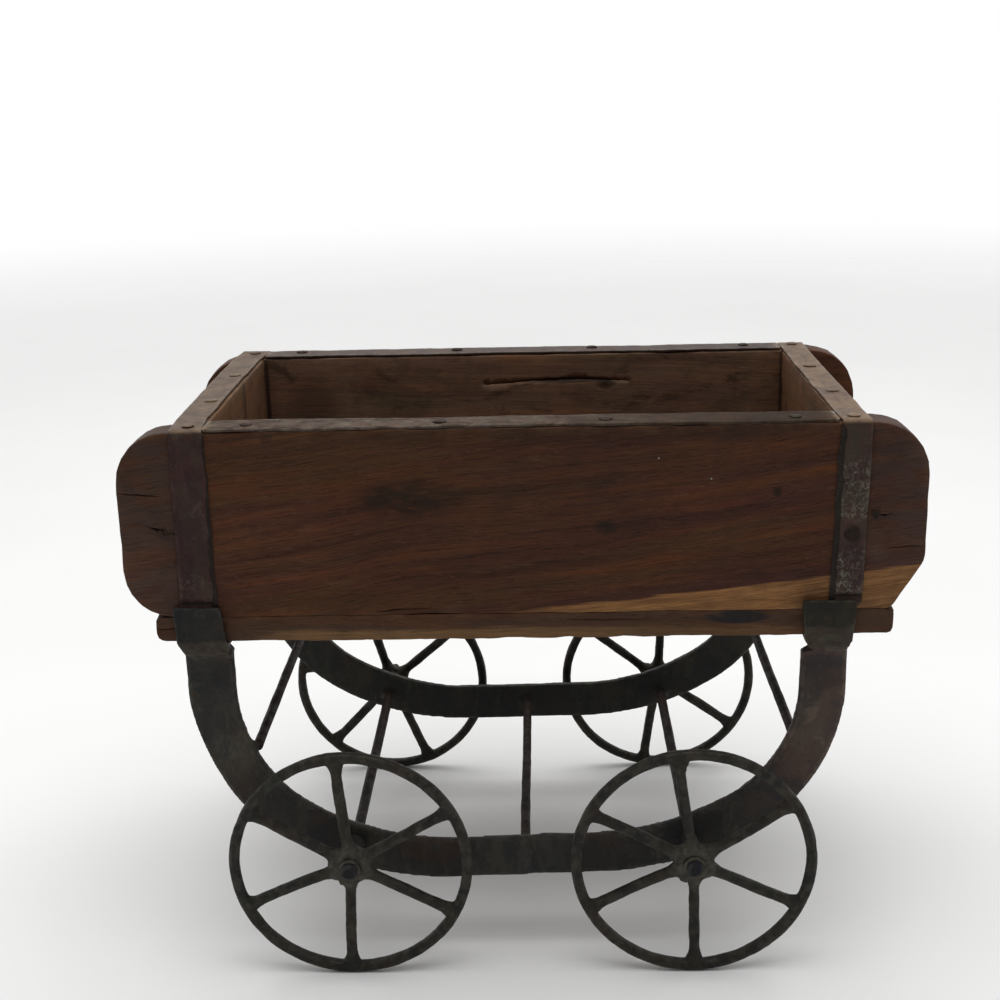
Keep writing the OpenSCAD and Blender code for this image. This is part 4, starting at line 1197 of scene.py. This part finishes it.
# How far the right and the left half of each hoop's bar hang low, as they really
# meet, and by how much of itself the left arm is broader
HANG = {"front": (0.6, 2.6, 0.068), "rear": (0.6, 1.6, 0.0)}
ARM = 122          # how far out the middle of an arm is
WELD_ROUGH = 0.3
AXLE_BORE = 2.62   # inner radius of what turns or sits on an axle


def sagged(points, low_z, right_drop, left_drop, arm_growth):
    """A hoop's points with its halves hung low, thinner at the bottom."""
    x, z = points[:, 0].copy(), points[:, 2].copy()
    drop = right_drop + (left_drop - right_drop) * ease(-x, -9, 11)
    points[:, 2] -= drop * (1 - ease(z, 60, 118))
    points[:, 2] -= 0.8 * ease(z - low_z, 8, 17) * (1 - ease(np.abs(x), 35, 75))
    arm = ease(z, 95, 125) * (x < -100)
    points[:, 0] += arm * (x + ARM) * arm_growth
    return points


def shouldered(points):
    """The arms' tops, cut back on the side towards the middle."""
    reach = np.abs(points[:, 0])
    start = np.where(points[:, 0] > 0, 139.3, 141.5)
    inward = unit((ARM + 4 - reach) / 9) * (reach > 100)
    cut = 3.3 * ease(points[:, 2], start, start + 2.5) * inward
    points[:, 0] += np.sign(points[:, 0]) * cut
    return points


def rod_weld(shells, number, x, z, faces, at_inner, out):
    """The lumps where a rod meets a hoop: one beside a side rod, and a run of them
    up the outer face for the centre rod."""
    inner, outer = faces
    face = inner if at_inner else outer
    if abs(x) > 90:
        shells.ball((x + math.copysign(2.2, x), face, z - 0.5), (2.9, 1.7, 3.0), 400 + number, WELD_ROUGH)
        return
    away = -out if at_inner else out
    shells.ball((x, face, z), (4.3, 1.9, 4.0), 400 + number, WELD_ROUGH)
    shells.ball((x + 0.6, face + away * 0.8, z - 0.8), (3.0, 1.5, 2.9), 420 + number, WELD_ROUGH)
    if not at_inner:
        for k, lift in enumerate((-6.0, -2.2, 1.8, 5.6)):
            shells.ball((x + 0.5 * (-1) ** k, face, z + lift), (2.6, 1.25, 3.0), 440 + k, WELD_ROUGH)


def hoop(side, out, seed):
    """A hoop with the weld lumps on it: where the rods pass or butt, and under
    the brackets' feet. out is the side that its outer face looks to."""
    node = "hoop_" + side
    low, high = box(node)
    inner, outer = (high[1], low[1]) if out < 0 else (low[1], high[1])
    shells = Shells()
    points, faces = cad_mesh(node)
    shells.add(sagged(points, low[2], *HANG[side]), faces)
    for number, (a, b, _) in enumerate(islands("rod_welds_" + side)):
        x, y, z = (a + b) / 2
        rod_weld(shells, number, x, z, (inner, outer), abs(y - inner) < abs(y - outer), out)
    for number, (a, b, _) in enumerate(islands("arm_welds_" + side)):
        x, face, _ = (a + b) / 2
        for k, shift in enumerate(np.linspace(-7.4, 7.4, 6)):
            drop = 3.4 + 1.6 * ((k * 7 + number * 3) % 4) / 3
            shells.ball((x + shift, face + (0.3 if k % 2 else -0.2), b[2] - drop), (2.2, 1.7, 2.3),
                        460 + 10 * number + k, WELD_ROUGH)
    forged(node, shells, 0.8, 4, (11.0, 0.34), "frame", "cart",
           [node, "rod_welds_" + side, "arm_welds_" + side], seed=seed, grow=0.34,
           limit=shouldered)


# How far each bracket's plate stands off its CAD box in x: its left edge at the
# top, at the fold and at the foot, then its right edge
BRACKET_EDGES = {"front_left": ((-1.5, -0.9, 2.4), (-3.2, -1.4, -0.6)),
                 "front_right": ((-0.8, 0.6, 2.4), (0.2, -0.9, -2.5)),
                 "rear_left": ((0.6, 1.2, 3.0), (-0.3, -1.6, -2.8)),
                 "rear_right": ((0.3, 1.8, 3.6), (-0.6, -0.9, -2.1))}


def bracket(corner):
    """An angle of plate: up the mould's face and in under the base board."""
    node = "bracket_" + corner
    low, high = box(node)
    out, face = (-1.0, low[1]) if low[1] < 0 else (1.0, high[1])
    thick = 2.0
    x0, x1, z0, z1 = low[0], high[0], low[2], high[2]
    left, right = BRACKET_EDGES[corner]
    fold, hem = z0 + 3.0, z0 - 2.4
    plate = rounded([(x0 + left[2], hem, 1.0), (x1 + right[2], hem, 1.0), (x1 + right[1], fold, 2.0),
                     (x1 + right[0], z1 - 0.3, 1.6), (x0 + left[0], z1, 1.6), (x0 + left[1], fold, 2.0)], 4)
    foot_end = high[1] - low[1]
    foot = rounded([(x0 + 1.0, 0.0, 1.2), (x1 - 0.8, 0.0, 1.2), (x1 - 1.4, foot_end, 2.2),
                    (x0 + 1.6, foot_end, 2.2)], 4)
    shells = Shells()
    shells.prism(plate, lambda u, v, w: (u, face - out * w, v), thick)
    shells.prism(foot, lambda u, v, w: (u, face - out * v, z0 + w), thick)
    for k, x in enumerate(np.linspace(x0 + 5.0, x1 - 4.5, 6)):
        z = z0 + 0.2 + 2.2 * math.sin(1.9 * k)
        shells.ball((x, face - out * 1.2, z), (2.3, 1.75, 1.7), 480 + k, 0.25)
    forged(node, shells, 0.5, 4, (8.0, 0.28), "bracket", "cart", [node],
           seed=sum(map(ord, node)) % 97, grow=0.12)


def rod(node, seed):
    """A slightly bowed, hand-drawn rod."""
    low, high = box(node)
    count, bow = 56, 0.35
    x, z, r = (low[0] + high[0]) / 2, (low[2] + high[2]) / 2, (high[0] - low[0]) / 2
    line = np.column_stack([np.full(count, x), np.linspace(low[1], high[1], count), np.full(count, z)])
    fade = np.sin(np.linspace(0, math.pi, count)) ** 0.5
    line[:, 0] += bow * fade * lumps(line, 60, seed)
    line[:, 2] += bow * fade * lumps(line, 60, seed + 1)
    shells = Shells()
    shells.bar(line, r * (0.98 - 0.05 * (1 + lumps(line, 7, seed + 2))), 20, seed, 0.03)
    plain(node, shells, "rod")


def axle(node, seed):
    """An axle rod, hammered over at both ends round a shallow dent."""
    low, high = box(node)
    half = (high[1] - low[1]) / 2
    head = min((high[0] - low[0]) / 2, 3.35)
    count, radius = 60, 2.46
    dent = [(0.5, 0.55), (1.3, 0.45), (1.9, 0.10), (2.4, 0.0)]
    rim = dent + [(2.9, 0.15), (head, 0.7), (head, 1.5), (2.5, 1.95)]
    shaft = np.linspace(4.0 - half, half - 4.0, count)
    line = np.column_stack([np.zeros(count), shaft, np.zeros(count)])
    radii = radius * (0.97 - 0.02 * lumps(line, 9, seed))
    near, far = [(r, y - half) for r, y in rim], [(r, half - y) for r, y in reversed(rim)]
    shells = Shells()
    shells.turned((low + high) / 2, near + list(zip(radii, shaft)) + far, 24, 0.035, seed)
    plain(node, shells, "axle")


def collar(node, seed, material, wobble):
    """A sleeve or a washer: a worn ring round an axle."""
    low, high = box(node)
    outer, half = (high[0] - low[0]) / 2, (high[1] - low[1]) / 2
    inner, r = AXLE_BORE, min(0.35, half * 0.4)
    count = max(1, int(half))
    profile = [(inner, -half + r), (inner + r, -half), (outer - r, -half), (outer - 0.3 * r, -half + 0.3 * r),
               (outer, -half + r)]
    profile += [(outer, -half + r + (2 * half - 2 * r) * k / count) for k in range(1, count)]
    profile += [(outer, half - r), (outer - 0.3 * r, half - 0.3 * r), (outer - r, half), (inner + r, half),
                (inner, half - r)]
    shells = Shells()
    shells.lathe((low + high) / 2, profile, 36, wobble, seed)
    plain(node, shells, material)


hoop("front", -1.0, 13)
hoop("rear", 1.0, 17)
for corner in CORNERS:
    bracket(corner)
rod("centre_rod", 81)
rod("side_rod_left", 83)
rod("side_rod_right", 85)
axle("axle_left", 91)
axle("axle_right", 93)
for number, corner in enumerate(CORNERS):
    collar("sleeve_" + corner, 200 + number, "frame", 0.012)
    collar("washer_" + corner, 210 + number, "wheel", 0.045)


# ---- The wheels ----

RIM_BAR, RIM_WIDE = 4.5, 4.8    # the rim's bar across the wheel's plane, and along its axle
SPOKE = 2.28                    # radius of a spoke


def rim(shells, centre, radius, seed):
    """A rim of bent bar with rounded corners, a little out of true."""
    steps, sides = 150, 16
    angles = np.linspace(0, TURN, steps, endpoint=False)[:, None]
    spine = np.column_stack([np.cos(angles), np.zeros(steps), np.sin(angles)]) * radius
    give = 0.10 + 0.10 * lumps(spine, 34, seed)
    side = 0.30 * lumps(spine, 45, seed + 1)
    thick = 1.0 - 0.03 * (1 + lumps(spine, 9, seed + 2))
    turn = np.linspace(0, TURN, sides, endpoint=False)
    c, s = [np.copysign(np.abs(v) ** 0.72, v) for v in (np.cos(turn), np.sin(turn))]
    r = radius - RIM_BAR / 2 - give[:, None] + c * RIM_BAR / 2 * thick[:, None]
    y = side[:, None] + s * RIM_WIDE / 2 * thick[:, None]
    points = centre + np.stack([r * np.cos(angles), y, r * np.sin(angles)], axis=2).reshape(-1, 3)
    shells.add(points, ring_faces(steps, sides, closed=True))


def spoke(shells, centre, run, radius, rng, seed):
    """A spoke of bent rod, with a flare of weld at its tip and a lump at its root."""
    across = np.array((run[2], 0.0, -run[0]))
    count = 12
    reach = np.linspace(4.5, radius - 3.0, count)
    bow = rng.uniform(-0.5, 0.5) * np.sin(np.linspace(0, math.pi, count))
    line = centre + np.outer(reach, run) + np.outer(bow, across)
    radii = SPOKE * (1 + rng.uniform(-0.05, 0.03)) * np.ones(count)
    shells.bar(line, radii, 16, seed, 0.05)
    tip = centre + run * (radius - RIM_BAR - 1.6)
    flare = ((-3.6, 2.35), (-1.6, 2.7), (0.6, 3.4), (2.6, 4.4))
    shells.bar([tip + run * along for along, _ in flare], [r for _, r in flare], 16, seed + 20, 0.10,
               squash=(1.0, 0.60))
    shells.ball(tip + across * rng.uniform(-1.2, 1.2) + run * 0.8, (2.6, 2.35, 2.6), seed + 40, 0.25)
    shells.ball(centre + run * 7.4, (3.5, 2.9, 3.5), seed + 60, 0.22)
    shells.bar([centre + run * along for along in (6.0, 9.0, 12.0)], (3.6, 3.0, 2.2), 16, seed + 80, 0.08)


def hub(shells, centre, y0, y1, out, rng, seed):
    """A hub, a collar of weld round it, and blobs of weld on its outer face."""
    sleeve = [(3.1, y0 + 0.15), (5.9, y0 + 0.15), (6.2, y0 + 0.8)]
    sleeve += [(6.2, y1 - 0.8), (5.9, y1 - 0.15), (3.1, y1 - 0.15)]
    shells.lathe(centre, sleeve, 44, 0.02, seed + 5)
    shells.lathe(centre, [(5.6, -2.4), (8.4, -2.2), (8.9, 0.0), (8.4, 2.2), (5.6, 2.4)], 40, 0.05, seed + 6)
    blobs = 9
    for number in range(blobs):
        a = TURN * (number + rng.uniform(-0.3, 0.3)) / blobs
        r = rng.uniform(6.1, 7.6)
        shells.ball(centre + np.array((r * math.cos(a), out * rng.uniform(2.2, 3.2), r * math.sin(a))),
                    (rng.uniform(1.7, 2.8), 1.5, rng.uniform(1.7, 2.8)), seed + 100 + number, WELD_ROUGH)


def wheel(corner, seed):
    """A wheel of bent bar and rod, with its welds fused in."""
    low, high = box("rim_" + corner)
    centre = (low + high) / 2
    radius = (high[2] - low[2]) / 2
    rng = np.random.default_rng(seed)
    shells = Shells()
    rim(shells, centre, radius, seed)
    for number, (_, _, middle) in enumerate(islands("spokes_" + corner)):
        run = (middle - centre) * (1, 0, 1)
        spoke(shells, centre, run / np.linalg.norm(run), radius, rng, seed + number)
    y0, y1 = [end[1] - centre[1] for end in box("hub_" + corner)]
    hub(shells, centre, y0, y1, math.copysign(1.0, centre[1]), rng, seed)

    def within(points):
        """Points pulled in to the wheel's radius."""
        offset = points[:, [0, 2]] - centre[[0, 2]]
        shrink = np.minimum(1, radius / np.linalg.norm(offset, axis=1))
        points[:, [0, 2]] = centre[[0, 2]] + offset * shrink[:, None]
        return points

    nodes = [kind + corner for kind in ("rim_", "spokes_", "hub_", "wheel_welds_")]
    forged("wheel_" + corner, shells, 0.62, 3, (6.5, 0.26), "wheel", "wheel_" + corner, nodes,
           seed=seed, grow=0.34, limit=within)


for number, corner in enumerate(CORNERS):
    wheel(corner, 501 + 10 * number)

for node in ("bracket_screws", "corner_nails"):
    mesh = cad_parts[node].data
    mesh.materials.clear()
    mesh.materials.append(MATERIALS["nail"])


# ---- Floor and light ----

def floor():
    """A pale floor that fades into the studio's white at its rim."""
    tool = bmesh.new()
    bmesh.ops.create_grid(tool, x_segments=8, y_segments=8, size=4.0)
    mesh = bpy.data.meshes.new("floor")
    tool.to_mesh(mesh)
    tool.free()
    s = Shader("floor", specular=0.1)
    s.colour = s.ramp(s.noise(0.004), [(0.3, (0.80, 0.80, 0.795)), (0.7, (0.83, 0.83, 0.825))])
    material = s.finish(0.9, s.noise(0.3, 2.0), 0.02)
    clear = s.node("ShaderNodeBsdfTransparent")
    fade = s.step(s.length(s.x, s.y), 3000.0, 900.0)
    blend = s.node("ShaderNodeMixShader", (fade, clear.outputs[0], s.bsdf.outputs[0]))
    output = next(n for n in s.tree.nodes if n.type == "OUTPUT_MATERIAL")
    s.tree.links.new(blend.outputs[0], output.inputs["Surface"])
    mesh.materials.append(material)
    linked("floor", mesh)


FRONT_SKY = 0.15    # brightness of the studio in front of the cart; behind it is 1


def studio():
    """A white room, dimmer on the side that the photographer stands on."""
    world = bpy.data.worlds.new("world")
    bpy.context.scene.world = world
    world.use_nodes = True
    tree = world.node_tree
    coords = tree.nodes.new("ShaderNodeTexCoord")
    split = tree.nodes.new("ShaderNodeSeparateXYZ")
    tree.links.new(coords.outputs["Generated"], split.inputs[0])
    sky = tree.nodes.new("ShaderNodeMapRange")
    sky.interpolation_type = "SMOOTHSTEP"
    for socket, value in zip(sky.inputs[1:5], (-0.75, 0.55, FRONT_SKY, 1.0)):
        socket.default_value = value
    tree.links.new(split.outputs[1], sky.inputs[0])
    tree.links.new(sky.outputs[0], tree.nodes["Background"].inputs["Strength"])
    tree.nodes["Background"].inputs["Color"].default_value = (1.0, 1.0, 1.0, 1.0)


def top_light():
    """A large soft light overhead, in metres and watts."""
    data = bpy.data.lights.new("top_light", "AREA")
    data.shape = "RECTANGLE"
    data.size, data.size_y = 2.6, 2.2
    data.energy = 40.0
    light = linked("top_light", data)
    light.location = (0.0, -0.05, 2.2)
    aim = Vector((0.0, 0.05, 0.1)) - light.location
    light.rotation_euler = aim.to_track_quat("-Z", "Y").to_euler()


floor()
studio()
top_light()
bpy.context.scene.view_settings.view_transform = "Standard"
